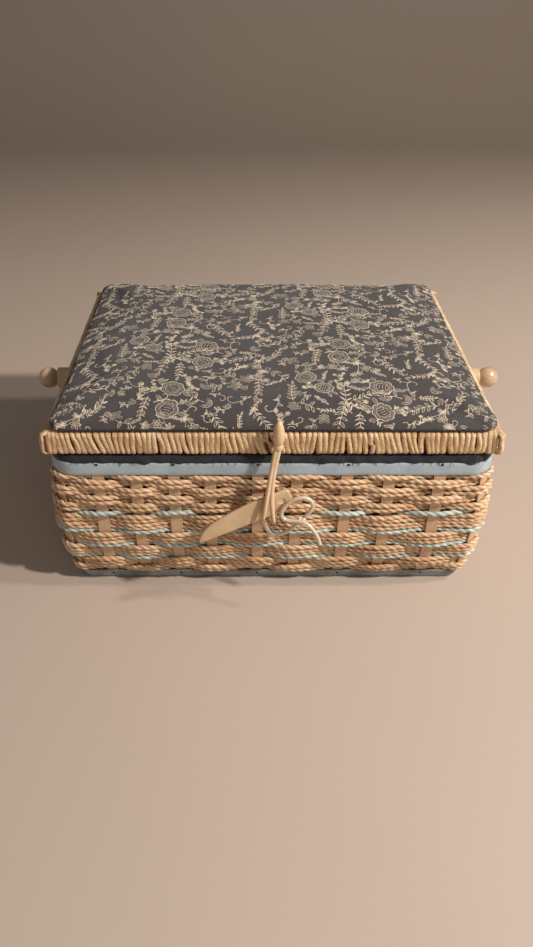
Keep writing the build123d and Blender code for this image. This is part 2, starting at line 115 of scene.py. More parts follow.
# Even places round a rectangle with round corners, from the front's middle to the right: each
# place's origin, outward direction, reach from the origin and distance along, and the whole length
def roundStations(halfX, halfY, corner, step):
    flatX, flatY = halfX - corner, halfY - corner
    arc = corner * math.pi / 2
    lengths = [flatX, arc, 2 * flatY, arc, 2 * flatX, arc, 2 * flatY, arc, flatX]
    total = sum(lengths)
    count = int(round(total / step))
    along = np.arange(count) * total / count
    starts = np.concatenate([[0], np.cumsum(lengths)])
    part = np.searchsorted(starts, along, side="right") - 1
    ahead = along - starts[part]
    side, straight = part // 2, part % 2 == 0
    ways = np.array([(0, -1), (1, 0), (0, 1), (-1, 0), (0, -1)])
    way = ways[side]
    onward = np.stack([-way[:, 1], way[:, 0]], 1)
    fromMiddle = ahead - np.array([0, flatY, flatX, flatY, flatX])[side]
    turn = side * math.pi / 2 - math.pi / 2 + ahead / corner
    cornerMiddle = (way + ways[(side + 1) % 5]) * (flatX, flatY)
    origin = np.where(straight[:, None], onward * fromMiddle[:, None], cornerMiddle)
    outward = np.where(straight[:, None], way, np.stack([np.cos(turn), np.sin(turn)], 1))
    reach = np.where(straight, np.array([halfY, halfX, halfY, halfX, halfY])[side], corner)
    return origin, outward, reach, along, total


# Points outside each station at a height
def ringAt(origin, outward, reach, height):
    return np.column_stack([origin + outward * reach[:, None], np.broadcast_to(height, len(origin))])


# Mesh part from a grid of rings by points. The rings join end to end, or the ends named are capped.
# Stride is the strand's length from ring to ring, for twisted paper.
def gridPart(grid, caps=(), stride=None):
    grid = np.asarray(grid, float)
    rings, columns = grid.shape[:2]
    joined = rings - 1 if caps else rings
    ring, column = np.meshgrid(np.arange(joined), np.arange(columns), indexing="ij")
    after, beside = (ring + 1) % rings, (column + 1) % columns
    near, far = ring * columns, after * columns
    loops = np.stack([near + column, far + column, far + beside, near + beside], -1).ravel()
    sizes = np.full(ring.size, 4)
    if "last" in caps:
        loops = np.append(loops, np.arange(rings * columns - 1, (rings - 1) * columns - 1, -1))
        sizes = np.append(sizes, columns)
    if "first" in caps:
        loops = np.append(loops, np.arange(columns))
        sizes = np.append(sizes, columns)
    strand = np.zeros((len(loops), 2))
    if stride:
        along = np.stack([ring, ring + 1, ring + 1, ring], -1) * stride
        across = np.stack([column, column, column + 1, column + 1], -1) / columns
        strand = np.stack([along.ravel(), across.ravel()], 1)
    return grid.reshape(-1, 3), loops, sizes, strand


bothEnds = ("first", "last")


# Tube along a line, closed at both ends
def tubePart(line, radii, sides):
    line = np.asarray(line, float)
    ahead = np.gradient(line, axis=0)
    ahead /= np.linalg.norm(ahead, axis=1)[:, None]
    side = np.cross(ahead[0], (0, 0, 1))
    if np.linalg.norm(side) < 1e-3:
        side = np.cross(ahead[0], (1, 0, 0))
    aside = []
    for way in ahead:
        side = side - way * np.dot(side, way)
        side /= np.linalg.norm(side)
        aside.append(side)
    aside = np.array(aside)
    rise = np.cross(aside, ahead)
    angles = np.arange(sides) * 2 * np.pi / sides
    radii = np.broadcast_to(radii, len(line))[:, None]
    across = (radii * np.cos(angles))[..., None] * aside[:, None]
    return gridPart(line[:, None] + across + (radii * np.sin(angles))[..., None] * rise[:, None], bothEnds)


# Turned shape: a profile of (radius, height) round an axis, each times its own scale
def turnedPart(profile, scale, centre, axis, sides):
    axis = Vector(axis).normalized()
    side = axis.orthogonal().normalized()
    turns = -2 * np.pi * np.arange(sides)[:, None] / sides
    circle = np.cos(turns) * np.array(side) + np.sin(turns) * np.array(axis.cross(side))
    rings = [np.array(axis) * high * scale[1] + circle * far * scale[0] for far, high in profile]
    return gridPart(np.array(rings) + np.array(centre), bothEnds)


def makeObject(name, parts):
    mesh = bpy.data.meshes.new(name)
    bases = np.cumsum([0] + [len(part[0]) for part in parts])
    points = np.vstack([part[0] for part in parts])
    loops = np.concatenate([part[1] + base for part, base in zip(parts, bases)])
    sizes = np.concatenate([part[2] for part in parts])
    mesh.vertices.add(len(points))
    mesh.vertices.foreach_set("co", points.ravel().astype(np.float32))
    mesh.loops.add(len(loops))
    mesh.loops.foreach_set("vertex_index", loops.astype(np.int32))
    mesh.polygons.add(len(sizes))
    mesh.polygons.foreach_set("loop_start", (np.cumsum(sizes) - sizes).astype(np.int32))
    mesh.update(calc_edges=True)
    strand = mesh.uv_layers.new(name="strand")
    strand.data.foreach_set("uv", np.vstack([part[3] for part in parts]).ravel().astype(np.float32))
    mesh.validate()
    mesh.shade_smooth()
    made = bpy.data.objects.new(name, mesh)
    scene.collection.objects.link(made)
    return made


# A piece takes its material, its body and the CAD nodes it stands for; the slot's name is not used
def settle(piece, body, slotName, material, *replaced):
    piece.data.materials.clear()
    piece.data.materials.append(materials[material])
    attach(piece, body)
    if replaced:
        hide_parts(*replaced)
    return piece


def addPiece(name, parts, *settings):
    return settle(makeObject(name, parts), *settings)


# Shader groups

# sRGB from 0 to 255 as a linear colour
def tone(*values):
    shares = [value / 255 for value in values]
    linear = [share / 12.92 if share <= 0.04045 else ((share + 0.055) / 1.055) ** 2.4 for share in shares]
    return (*linear, 1.0)


# Sockets take plain values or other nodes' outputs
def feed(tree, sockets, values):
    for key, value in values.items():
        if isinstance(value, bpy.types.NodeSocket):
            tree.links.new(value, sockets[key])
        else:
            sockets[key].default_value = value


def addNode(tree, kind, inputs=None, **settings):
    made = tree.nodes.new("ShaderNode" + kind)
    for key, value in settings.items():
        setattr(made, key, value)
    feed(tree, made.inputs, inputs or {})
    return made


def maths(tree, operation, *values):
    return addNode(tree, "Math", dict(enumerate(values)), operation=operation).outputs[0]


def vectorMaths(tree, operation, inputs):
    return addNode(tree, "VectorMath", inputs, operation=operation).outputs[0]


def mixed(tree, share, first, second):
    return addNode(tree, "Mix", {0: share, 6: first, 7: second}, data_type="RGBA").outputs[2]


def noise(tree, place, scale, detail, roughness=0.5):
    inputs = {"Vector": place, "Scale": scale, "Detail": detail, "Roughness": roughness}
    return addNode(tree, "TexNoise", inputs).outputs["Fac"]


def ranged(tree, value, low, high, toLow=0.0, toHigh=1.0):
    inputs = {"Value": value, "From Min": low, "From Max": high, "To Min": toLow, "To Max": toHigh}
    return addNode(tree, "MapRange", inputs, interpolation_type="SMOOTHSTEP").outputs[0]


def axes(tree, place):
    return addNode(tree, "SeparateXYZ", {0: place}).outputs


# A group with its inputs' values (None for a place) and the kinds of its outputs
def newGroup(name, inputs, outputs):
    group = bpy.data.node_groups.new(name, "ShaderNodeTree")
    for key, value in inputs.items():
        kind = "Vector" if value is None else "Color" if isinstance(value, tuple) else "Float"
        socket = group.interface.new_socket(key, in_out="INPUT", socket_type="NodeSocket" + kind)
        if value is not None:
            socket.default_value = value
    for key, kind in outputs.items():
        group.interface.new_socket(key, in_out="OUTPUT", socket_type="NodeSocket" + kind)
    return group, group.nodes.new("NodeGroupInput").outputs, group.nodes.new("NodeGroupOutput").inputs


# Blotches and fine specks over a base colour
def makePatina():
    group, given, put = newGroup("patina", {
        "Base": tone(188, 188, 188), "Second": tone(149, 149, 149), "Place": None, "Blotch Size": 0.02,
        "Blotches": 0.4, "Speck Size": 0.0008, "Specks": 0.2,
    }, {"Color": "Color", "Height": "Float", "Patches": "Float"})
    big = noise(group, given["Place"], maths(group, "DIVIDE", 1.0, given["Blotch Size"]), 4.0, 0.6)
    small = noise(group, given["Place"], maths(group, "DIVIDE", 1.0, given["Speck Size"]), 2.0)
    patches = ranged(group, big, 0.35, 0.65)
    share = maths(group, "MULTIPLY", patches, given["Blotches"])
    colour = mixed(group, share, given["Base"], given["Second"])
    dots = ranged(group, small, 0.3, 0.7, -0.5, 0.5)
    shade = maths(group, "MULTIPLY_ADD", dots, given["Specks"], 1.0)
    bright = vectorMaths(group, "SCALE", {0: colour, "Scale": shade})
    feed(group, put, {"Color": bright, "Height": small, "Patches": patches})
    return group


# Twisted paper: creases aslant along a strand, painted shade in the groove between its plies and in sunk
# creases, and a lighter tone on raised creases that is partly painted highlight and partly random tone
def makeTwist():
    group, given, put = newGroup("twistedPaper", {
        "Base": tone(188, 170, 149), "Light": tone(219, 203, 188), "Groove Shade": tone(124, 97, 75),
        "Strand": None, "Place": None, "Crease Length": 0.004, "Creases Round": 9.0, "Slant": 120.0,
        "Groove Shade Depth": 0.8,
    }, {"Color": "Color", "Height": "Float"})
    along, across = axes(group, given["Strand"])[:2]
    lines = maths(group, "MULTIPLY", across, given["Creases Round"])
    aslant = maths(group, "MULTIPLY_ADD", along, given["Slant"], lines)
    drawn = {0: maths(group, "DIVIDE", along, given["Crease Length"]), 1: aslant}
    place = vectorMaths(group, "MULTIPLY", {0: given["Place"], 1: (9.0, 9.0, 700.0)})
    moved = vectorMaths(group, "ADD", {0: addNode(group, "CombineXYZ", drawn).outputs[0], 1: place})
    creases = noise(group, moved, 1.0, 3.0, 0.65)
    wave = maths(group, "COSINE", maths(group, "MULTIPLY", across, 4 * math.pi))
    # painted shade in the groove between the plies
    grooveShade = ranged(group, wave, 0.35, -0.95)
    large = maths(group, "MULTIPLY", noise(group, given["Place"], 55.0, 3.0), 0.7)
    # lighter on raised creases: partly painted highlight, partly random tone
    highlightAndTone = ranged(group, maths(group, "ADD", creases, large), 0.62, 1.05)
    # painted shade in sunk creases
    creaseShade = maths(group, "MULTIPLY", ranged(group, creases, 0.42, 0.27), 0.45)
    dark = maths(group, "MAXIMUM", maths(group, "MULTIPLY", grooveShade, given["Groove Shade Depth"]), creaseShade)
    colour = mixed(group, dark, mixed(group, highlightAndTone, given["Base"], given["Light"]), given["Groove Shade"])
    feed(group, put, {"Color": colour, "Height": creases})
    return group


# Plain weave across Place's X and Y: threads over and under
def makeCloth():
    inputs = {"Place": None, "Thread": 0.0005}
    group, given, put = newGroup("plainWeave", inputs, {"Height": "Float", "Shade": "Float"})
    counts = [maths(group, "DIVIDE", axis, given["Thread"]) for axis in axes(group, given["Place"])[:2]]
    waves = [maths(group, "SINE", maths(group, "MULTIPLY", count, math.pi)) for count in counts]
    over = maths(group, "MULTIPLY", *waves)
    uneven = noise(group, given["Place"], 900.0, 2.0)
    height = maths(group, "ADD", maths(group, "ABSOLUTE", over), uneven)
    level = maths(group, "MULTIPLY_ADD", over, 0.25, uneven)
    feed(group, put, {"Height": height, "Shade": ranged(group, level, 0.2, 0.8, 0.86, 1.1)})
    return group


# Straight grain along Place's X: streaks and pores
def makeGrain():
    group, given, put = newGroup("grain", {
        "Base": tone(188, 170, 149), "Dark": tone(149, 124, 89), "Place": None, "Length": 0.05,
        "Width": 0.0012, "Contrast": 0.6,
    }, {"Color": "Color", "Height": "Float"})
    sizes = (given["Length"], given["Width"], given["Width"])
    drawn = [maths(group, "DIVIDE", axis, size) for axis, size in zip(axes(group, given["Place"]), sizes)]
    stretched = addNode(group, "CombineXYZ", dict(enumerate(drawn))).outputs[0]
    streaks = noise(group, stretched, 1.0, 4.0, 0.6)
    amount = maths(group, "MULTIPLY", ranged(group, streaks, 0.35, 0.7), given["Contrast"])
    feed(group, put, {"Color": mixed(group, amount, given["Base"], given["Dark"]), "Height": streaks})
    return group


patinaGroup, twistGroup, clothGroup, grainGroup = makePatina(), makeTwist(), makeCloth(), makeGrain()
materials = {}


# Materials

# A new material's tree and shader, and the object's own place; shine gives the shader's plain values
def newMaterial(name, shine):
    materials[name] = bpy.data.materials.new(name)
    materials[name].use_nodes = True
    tree = materials[name].node_tree
    tree.nodes.clear()
    shader = addNode(tree, "BsdfPrincipled", shine)
    addNode(tree, "OutputMaterial", {0: shader.outputs[0]})
    return tree, shader, addNode(tree, "TexCoord").outputs["Object"]


# Roughness follows rough: a value, its low and high and the roughness at each
def shade(tree, shader, colour, rough, height, bump):
    feed(tree, shader.inputs, {"Base Color": colour, "Roughness": ranged(tree, *rough)})
    if bump:
        normal = addNode(tree, "Bump", {"Height": height, "Distance": bump, "Strength": 1.0}).outputs[0]
        feed(tree, shader.inputs, {"Normal": normal})


# Three tones (base, lighter tone that is partly painted highlight, painted groove shade), length of the
# creases, creases round a strand, their slant, depth of the groove shade, bump
paperLooks = {
    "weaveCordPaper": ((191, 148, 109), (230, 195, 156), (124, 80, 47), 0.009, 9.0, 120.0, 0.5, 0.00040),
    "aquaCordPaper": ((154, 166, 156), (208, 218, 208), (92, 96, 82), 0.009, 9.0, 120.0, 0.5, 0.00035),
    "rimTwinePaper": ((198, 157, 112), (232, 198, 156), (136, 94, 54), 0.012, 13.0, 30.0, 0.4, 0.0006),
}
paperShine = {"Sheen Weight": 0.12, "Sheen Roughness": 0.5, "Specular IOR Level": 0.35}
for name, (base, light, grooveShadeTone, creaseLength, creasesRound, slant, depth, bump) in paperLooks.items():
    tree, shader, place = newMaterial(name, paperShine)
    look = addNode(tree, "Group", {
        "Base": tone(*base), "Light": tone(*light), "Groove Shade": tone(*grooveShadeTone), "Crease Length": creaseLength,
        "Creases Round": creasesRound, "Slant": slant, "Groove Shade Depth": depth, "Place": place,
        "Strand": addNode(tree, "UVMap", uv_map="strand").outputs[0]}, node_tree=twistGroup).outputs
    shade(tree, shader, look["Color"], (look["Height"], 0.3, 0.7, 0.78, 0.6), look["Height"], bump)

# Two tones, size and share of the blotches and of the specks, roughness, bump, the shader's own values
moulded = {"Subsurface Weight": 0.15, "Subsurface Scale": 0.002, "Coat Weight": 0.2, "Coat Roughness": 0.25}
smoothLooks = {
    "satinTape": ((164, 176, 182), (148, 158, 163), 0.012, 0.7, 0.0006, 0.12, (0.42, 0.58), 0.00006,
                  {"Specular IOR Level": 0.5, "Coat Weight": 0.15, "Coat Roughness": 0.3}),
    # painted shade: a darker copy of the satin tape for the foot band, for the shadow of the overhanging
    # courses
    "footShadeTape": ((138, 145, 146), (104, 106, 102), 0.012, 0.9, 0.0006, 0.2, (0.5, 0.65), 0.00006,
                 {"Specular IOR Level": 0.4}),
    "ivoryPlastic": ((202, 171, 134), (186, 154, 116), 0.01, 0.6, 0.0006, 0.06, (0.34, 0.48), 0.00003,
                     moulded),
    "pegPlastic": ((214, 183, 145), (199, 167, 128), 0.01, 0.6, 0.0006, 0.06, (0.34, 0.48), 0.00003,
                   moulded),
    "knobPlastic": ((190, 164, 132), (176, 148, 116), 0.006, 0.6, 0.0005, 0.05, (0.22, 0.36), 0.00002,
                    {"Subsurface Weight": 0.5, "Subsurface Scale": 0.004, "Coat Weight": 0.6,
                     "Coat Roughness": 0.12}),
    "clearLacing": ((238, 222, 196), (224, 204, 174), 0.004, 0.7, 0.0004, 0.05, (0.2, 0.34), 0.00003,
                    {"Transmission Weight": 0.35, "IOR": 1.47, "Coat Weight": 0.5, "Coat Roughness": 0.15}),
    "hingeMetal": ((176, 150, 96), (128, 104, 62), 0.004, 0.8, 0.0003, 0.15, (0.3, 0.5), 0.00003,
                   {"Metallic": 1.0}),
    "pinMetal": ((150, 148, 142), (112, 108, 102), 0.003, 0.7, 0.0003, 0.1, (0.28, 0.45), 0.00003,
                 {"Metallic": 1.0}),
    "tackMetal": ((58, 56, 52), (38, 32, 28), 0.0008, 0.8, 0.0002, 0.2, (0.4, 0.6), 0.00003,
                  {"Metallic": 0.6}),
    "kraftCard": ((104, 78, 54), (120, 92, 66), 0.01, 0.7, 0.0005, 0.3, (0.85, 0.95), 0.0001, {}),
    "paleFloor": ((181, 162, 147), (176, 157, 142), 0.3, 0.4, 0.002, 0.02, (0.6, 0.75), 0.0, {}),
}


def patina(tree, place, base, second, blotch, blotches, speck, specks):
    return addNode(tree, "Group", {
        "Base": tone(*base), "Second": tone(*second), "Place": place, "Blotch Size": blotch,
        "Blotches": blotches, "Speck Size": speck, "Specks": specks}, node_tree=patinaGroup).outputs


for name, (base, second, blotch, blotches, speck, specks, rough, bump, shine) in smoothLooks.items():
    tree, shader, place = newMaterial(name, shine)
    look = patina(tree, place, base, second, blotch, blotches, speck, specks)
    shade(tree, shader, look["Color"], (look["Patches"], 0.0, 1.0, *rough), look["Height"], bump)

# Two tones, thread, size and share of the faded patches, bump, sheen
clothLooks = {
    "calicoGround": ((71, 66, 65), (83, 77, 76), 0.00036, 0.03, 0.6, 0.00012, 0.1),
    "calicoInk": ((226, 206, 180), (206, 186, 160), 0.00036, 0.006, 0.8, 0.0001, 0.2),
    "calicoWash": ((116, 103, 93), (98, 88, 81), 0.00036, 0.006, 0.8, 0.0001, 0.2),
    "liningCloth": ((70, 74, 86), (84, 88, 100), 0.0005, 0.03, 0.6, 0.00015, 0.2),
    "rawEdgeCloth": ((38, 39, 42), (52, 53, 56), 0.0005, 0.008, 0.7, 0.0002, 0.2),
}
# painted shade along the cover's tuck behind the rim: its height, how far it fades up, its darkest share
tuckShade = {"height": float(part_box("lid_rim_wrap")[1][2]) + 0.0002, "shadeFade": 0.0022, "shade": 0.25}
for name, (base, second, thread, blotch, blotches, bump, sheen) in clothLooks.items():
    shine = {"Sheen Weight": sheen, "Sheen Roughness": 0.45, "Specular IOR Level": 0.25}
    tree, shader, place = newMaterial(name, shine)
    threads = addNode(tree, "Group", {"Place": place, "Thread": thread}, node_tree=clothGroup).outputs
    look = patina(tree, place, base, second, blotch, blotches, 0.0006, 0.25)
    dimmed = threads["Shade"]
    if name == "calicoGround":  # painted shade: darker where the cover is tucked in behind the rim
        top = tuckShade["height"] + tuckShade["shadeFade"]
        shadeFade = ranged(tree, axes(tree, place)[2], tuckShade["height"], top, tuckShade["shade"], 1.0)
        dimmed = maths(tree, "MULTIPLY", dimmed, shadeFade)
    colour = vectorMaths(tree, "SCALE", {0: look["Color"], "Scale": dimmed})
    shade(tree, shader, colour, (threads["Height"], 0.3, 1.6, 0.95, 0.8), threads["Height"], bump)

# Two tones, length and width of the streaks, contrast, roughness, bump, the grain's turn to X, coat
grainLooks = {
    "boxWood": ((196, 164, 120), (150, 112, 72), 0.06, 0.0016, 0.7, (0.55, 0.7), 0.0001, 0, 0.0),
    # painted shade: the lid frame's wood is made dark so the gaps where the rim's turns part look shaded
    "shadowedFrameWood": ((112, 84, 56), (78, 56, 36), 0.06, 0.0016, 0.7, (0.65, 0.8), 0.0001, 0, 0.0),
    "caneSlat": ((202, 166, 130), (168, 130, 96), 0.03, 0.0009, 0.5, (0.4, 0.55), 0.00008, math.pi / 2,
                 0.15),
}
for name, (base, dark, length, width, contrast, rough, bump, turn, coat) in grainLooks.items():
    tree, shader, place = newMaterial(name, {"Coat Weight": coat, "Coat Roughness": 0.35})
    place = addNode(tree, "Mapping", {"Vector": place, "Rotation": (0, turn, 0)}).outputs[0]
    look = addNode(tree, "Group", {
        "Base": tone(*base), "Dark": tone(*dark), "Place": place, "Length": length, "Width": width,
        "Contrast": contrast}, node_tree=grainGroup).outputs
    shade(tree, shader, look["Color"], (look["Height"], 0.3, 0.7, *rough), look["Height"], bump)
print("Materials made:", len(materials))


# Camera, lamps and stage

view = {
    "place": (-0.0145, -0.461, 0.3515),
    "tiltDown": 36.2,  # degrees below the horizon
    "lens": 28.5,
    "sensor": 36,
    "shift": 0.01985,  # the object stands left of the middle of the picture
    "clip": (0.01, 50),
}
cameraData = bpy.data.cameras.new("camera")
cameraData.lens = view["lens"]
cameraData.sensor_width = view["sensor"]
cameraData.clip_start, cameraData.clip_end = view["clip"]
cameraData.shift_x = view["shift"]
photoCamera = bpy.data.objects.new("camera", cameraData)
photoCamera.location = view["place"]
photoCamera.rotation_euler = (math.radians(90 - view["tiltDown"]), 0, 0)
scene.collection.objects.link(photoCamera)
scene.camera = photoCamera

lamps = {
    "key": {"place": (0.94, -0.52, 1.05), "size": 0.1, "energy": 22.0, "color": (1.0, 0.965, 0.92)},
    "side": {"place": (0.99, -0.18, 1.12), "size": 0.1, "energy": 7.0, "color": (1.0, 0.965, 0.92)},
    "near": {"place": (0.6, -1.5, 0.42), "size": 0.8, "energy": 2.6, "color": (1.0, 0.97, 0.93)},
    "soft": {"place": (-1.1, -0.6, 1.3), "size": 1.2, "energy": 0.8, "color": (0.97, 0.98, 1.0)},
}
lampTarget = Vector((0, 0, 0.06))
for name, settings in lamps.items():
    lampData = bpy.data.lights.new(name, "AREA")
    lampData.shape = "DISK"
    for key in ("size", "energy", "color"):
        setattr(lampData, key, settings[key])
    lamp = bpy.data.objects.new(name, lampData)
    lamp.location = settings["place"]
    lamp.rotation_euler = (lampTarget - lamp.location).to_track_quat("-Z", "Y").to_euler()
    scene.collection.objects.link(lamp)

studio = {
    "light": (1.0, 0.975, 0.945, 1),
    "strength": 0.19,
    "farShadeTone": (144, 128, 114),
    "farFrom": 0.25,  # painted shade of the light falling off: the floor darkens from here
    "farTo": 1.3,
    "back": 1.6,
    "bend": 0.5,
    "half": 3.0,
    "front": (-2.5, -1.2, 0.0),
    "high": 2.4,
}
world = bpy.data.worlds.new("studio")
world.use_nodes = True
background = world.node_tree.nodes["Background"].inputs
feed(world.node_tree, background, {0: studio["light"], 1: studio["strength"]})
scene.world = world
bendFrom = studio["back"] - studio["bend"]
sweep = [(y, 0.0) for y in (*studio["front"], bendFrom)]
sweep += [(bendFrom + studio["bend"] * math.sin(turn), studio["bend"] * (1 - math.cos(turn)))
          for turn in np.linspace(0, math.pi / 2, 17)[1:]]
sweep.append((studio["back"], studio["high"]))
floorPoints = [(side * studio["half"], y, z) for y, z in sweep for side in (-1, 1)]
floorMesh = bpy.data.meshes.new("floor")
floorFaces = [(i, i + 1, i + 3, i + 2) for i in range(0, len(floorPoints) - 2, 2)]
floorMesh.from_pydata(floorPoints, [], floorFaces)
floorMesh.shade_smooth()
floorMesh.materials.append(materials["paleFloor"])
floor = bpy.data.objects.new("floor", floorMesh)
scene.collection.objects.link(floor)
tree = materials["paleFloor"].node_tree
floorColour = tree.nodes["Principled BSDF"].inputs["Base Color"]
depth = axes(tree, addNode(tree, "TexCoord").outputs["Object"])[1]
# painted shade: the floor and backdrop get darker towards the back, as light falls off with distance
farShadeShare = ranged(tree, depth, studio["farFrom"], studio["farTo"])
farShadedColour = mixed(tree, farShadeShare, floorColour.links[0].from_socket, tone(*studio["farShadeTone"]))
tree.links.new(farShadedColour, floorColour)
print("Camera, lamps and stage set")


# Plastic lacing: out of the weave, a loop, a knot, a second loop and a free end

lacing = {
    "diameter": 0.0024,
    "length": 0.127,
    "knotPlace": (0.0174, -0.1186, 0.0662),
    "knotReach": 0.0019,
    "knotDepth": 1.3,
    "knotTurn": (70, 25),
    "knotStrand": 0.00095,
    "route": (
        (-0.0047, -0.1060, 0.0722), (-0.0052, -0.1096, 0.0712), (-0.0058, -0.1106, 0.0682),
        (-0.0053, -0.1110, 0.0632), (-0.0039, -0.1116, 0.0554), (0.0008, -0.1120, 0.0484),
        (0.0070, -0.1122, 0.0506), (0.0126, -0.1145, 0.0570), (0.0176, -0.1173, 0.0656),
        (0.0224, -0.1176, 0.0722), (0.0244, -0.1172, 0.0774), (0.0212, -0.1168, 0.0816),
        (0.0150, -0.1165, 0.0820), (0.0090, -0.1163, 0.0776), (0.0052, -0.1170, 0.0716),
        (0.0058, -0.1175, 0.0674), (0.0096, -0.1182, 0.0656), (0.0152, -0.1198, 0.0666),
        (0.0202, -0.1210, 0.0664), (0.0246, -0.1232, 0.0624), (0.0274, -0.1254, 0.0584),
        (0.0284, -0.1265, 0.0544),
    ),
}
lacingData = bpy.data.curves.new("lacing_loops", "CURVE")
lacingData.dimensions = "3D"
lacingSpline = lacingData.splines.new("NURBS")
lacingSpline.points.add(len(lacing["route"]) - 1)
for point, place in zip(lacingSpline.points, lacing["route"]):
    point.co = (*place, 1.0)
lacingSpline.order_u = 3
lacingSpline.use_endpoint_u = True
lacingSpline.resolution_u = 10
lacingData.bevel_depth = lacing["diameter"] / 2
lacingData.bevel_resolution = 4
lacingData.use_fill_caps = True
lacingLoops = bpy.data.objects.new("lacing_loops", lacingData)
scene.collection.objects.link(lacingLoops)
settle(lacingLoops, "basket", "clear_lacing", "clearLacing", "lacing")

turns = np.linspace(0, 2 * np.pi, 49)[:-1]
knotLine = [np.sin(turns) + 2 * np.sin(2 * turns), np.cos(turns) - 2 * np.cos(2 * turns), -np.sin(3 * turns)]
knotLine = np.stack(knotLine, 1) * lacing["knotReach"] / 3 * (1.0, 1.0, lacing["knotDepth"])
knotTurn = Euler((*[math.radians(angle) for angle in lacing["knotTurn"]], 0)).to_matrix()
knotLine = np.array([knotTurn @ Vector(spot) for spot in knotLine])
knotLine = np.vstack([knotLine, knotLine[:2]]) + lacing["knotPlace"]
knotPart = tubePart(knotLine, lacing["knotStrand"], 10)
lacingKnot = addPiece("lacing_tied_knot", [knotPart], "basket", "clear_lacing", "clearLacing", "lacing_knot")
print("Lacing laid")


# Woven courses

slats = {
    "width": 0.007,
    "cornerTurn": 30.0,
    "front": (-0.885, -0.694, -0.5, -0.316, -0.072, 0.128, 0.383, 0.598, 0.854),
    "backCount": 9,
    "sideCount": 7,
    "sideSpread": 0.84,
}


# Each slat round the body from the front left: origin, outward angle, reach, whether it is a corner's
def slatStations():
    sides = slats["sideSpread"] * np.linspace(-1, 1, slats["sideCount"])
    back = slats["sideSpread"] * np.linspace(1, -1, slats["backCount"])
    rows = (
        (slats["front"], (cornerX, 0), -90, wall["bellyY"], (cornerX, -cornerY)),
        (sides, (0, cornerY), 0, wall["bellyX"], (cornerX, cornerY)),
        (back, (cornerX, 0), 90, wall["bellyY"], (-cornerX, cornerY)),
        (sides, (0, -cornerY), 180, wall["bellyX"], (-cornerX, -cornerY)),
    )
    found = []
    for places, half, angle, reach, corner in rows:
        found += [(np.array(half) * place, angle, reach, False) for place in places]
        found.append((np.array(corner), angle + 45, wall["corner"], True))
    return found


weave = {
    "cord": 0.0028,
    "fullness": 1.17,  # a cord's loose plies, beyond its pulled size
    "uneven": 0.05,  # share of its thickness
    "pitch": 0.002839,
    "gap": 0.0003,
    "seat": 0.00025,
    "pastSlat": 0.0013,
    "bend": 0.0022,
    "samples": 2400,
    "step": 0.00078,
    "sides": 8,
    "twistPitch": 0.0100,
    "twistWaver": 0.5,
    "plyOffset": 0.27,  # share of the cord's radius from its middle to a ply's
    "plySize": 0.75,
    "outsideFirst": (2, 4, 6, 9, 10, 13),  # courses that pass the first slat on its outside
    "aqua": (6, 8, 10, 12),
    "frontRise": 0.0002,
    "behindDrop": 0.0011,
    "driftUp": 0.00022,
    "driftOut": 0.00012,
}
slatList = slatStations()


# A cord's way round the body, past each slat in turn on its outside and its inside, with its sway in height
def cordLine(height, outsideFirst):
    points = []
    halfTurn = math.radians(slats["cornerTurn"] / 2)
    lane = wall["slat"] / 2 + weave["seat"] + weave["cord"] / 2
    for count, (origin, angle, reach, corner) in enumerate(slatList):
        outside = (count % 2 == 0) == outsideFirst
        distance = float(wallReach(reach, 0.0, height))
        halfWidth = distance * math.sin(halfTurn) if corner else slats["width"] / 2
        dip = distance * (1 - math.cos(halfTurn)) if corner else 0.0
        outward = np.array([math.cos(math.radians(angle)), math.sin(math.radians(angle))])
        onward = np.array([-outward[1], outward[0]]) * (halfWidth + weave["pastSlat"])
        middle = origin + outward * (distance + (lane if outside else -lane - dip))
        sway = weave["frontRise"] if outside else -weave["behindDrop"]
        points += [(*(middle - onward), sway), (*(middle + onward), sway)]
    return np.array(points)


# Outline of two plies side by side: angles round a strand and the reach at each, as a share of its radius
def plyOutline(offset, size, sides):
    lobe = np.arange(sides) * 2 * np.pi / sides
    return lobe, offset * np.abs(np.cos(lobe)) + np.sqrt(size**2 - (offset * np.sin(lobe)) ** 2)


# One two-ply cord round the body
def cordPart(height, outsideFirst, rng):
    flat, length = resampleRing(cordLine(height, outsideFirst), weave["samples"])
    flat = smoothRing(flat, weave["bend"] / (length / weave["samples"]))
    count = int(round(length / weave["step"]))
    flat, length = resampleRing(flat, count)
    sway, flat = flat[:, 2], flat[:, :2]
    ahead = ringAhead(flat)
    outward = np.stack([ahead[:, 1], -ahead[:, 0]], 1)
    drift = ringNoise(count, length / 0.03, rng) * weave["driftUp"]
    flat = flat + outward * (ringNoise(count, length / 0.02, rng) * weave["driftOut"])[:, None]
    waver = ringNoise(count, length / 0.05, rng) * weave["twistWaver"]
    turns = round(length / weave["twistPitch"])
    twist = -2 * np.pi * turns * np.arange(count) / count + rng.uniform(0, 2 * np.pi) + waver
    thickness = 1 + weave["uneven"] * ringNoise(count, length / 0.012, rng)
    radius = weave["cord"] / 2 * weave["fullness"] * thickness
    lobe, shape = plyOutline(weave["plyOffset"], weave["plySize"], weave["sides"])
    angle = lobe + twist[:, None]
    out = radius[:, None] * shape * np.cos(angle)
    rise = height + (drift + sway)[:, None] + radius[:, None] * shape * np.sin(angle)
    spots = flat[:, None] + outward[:, None] * out[..., None]
    return gridPart(np.concatenate([spots, rise[..., None]], 2), stride=length / count)


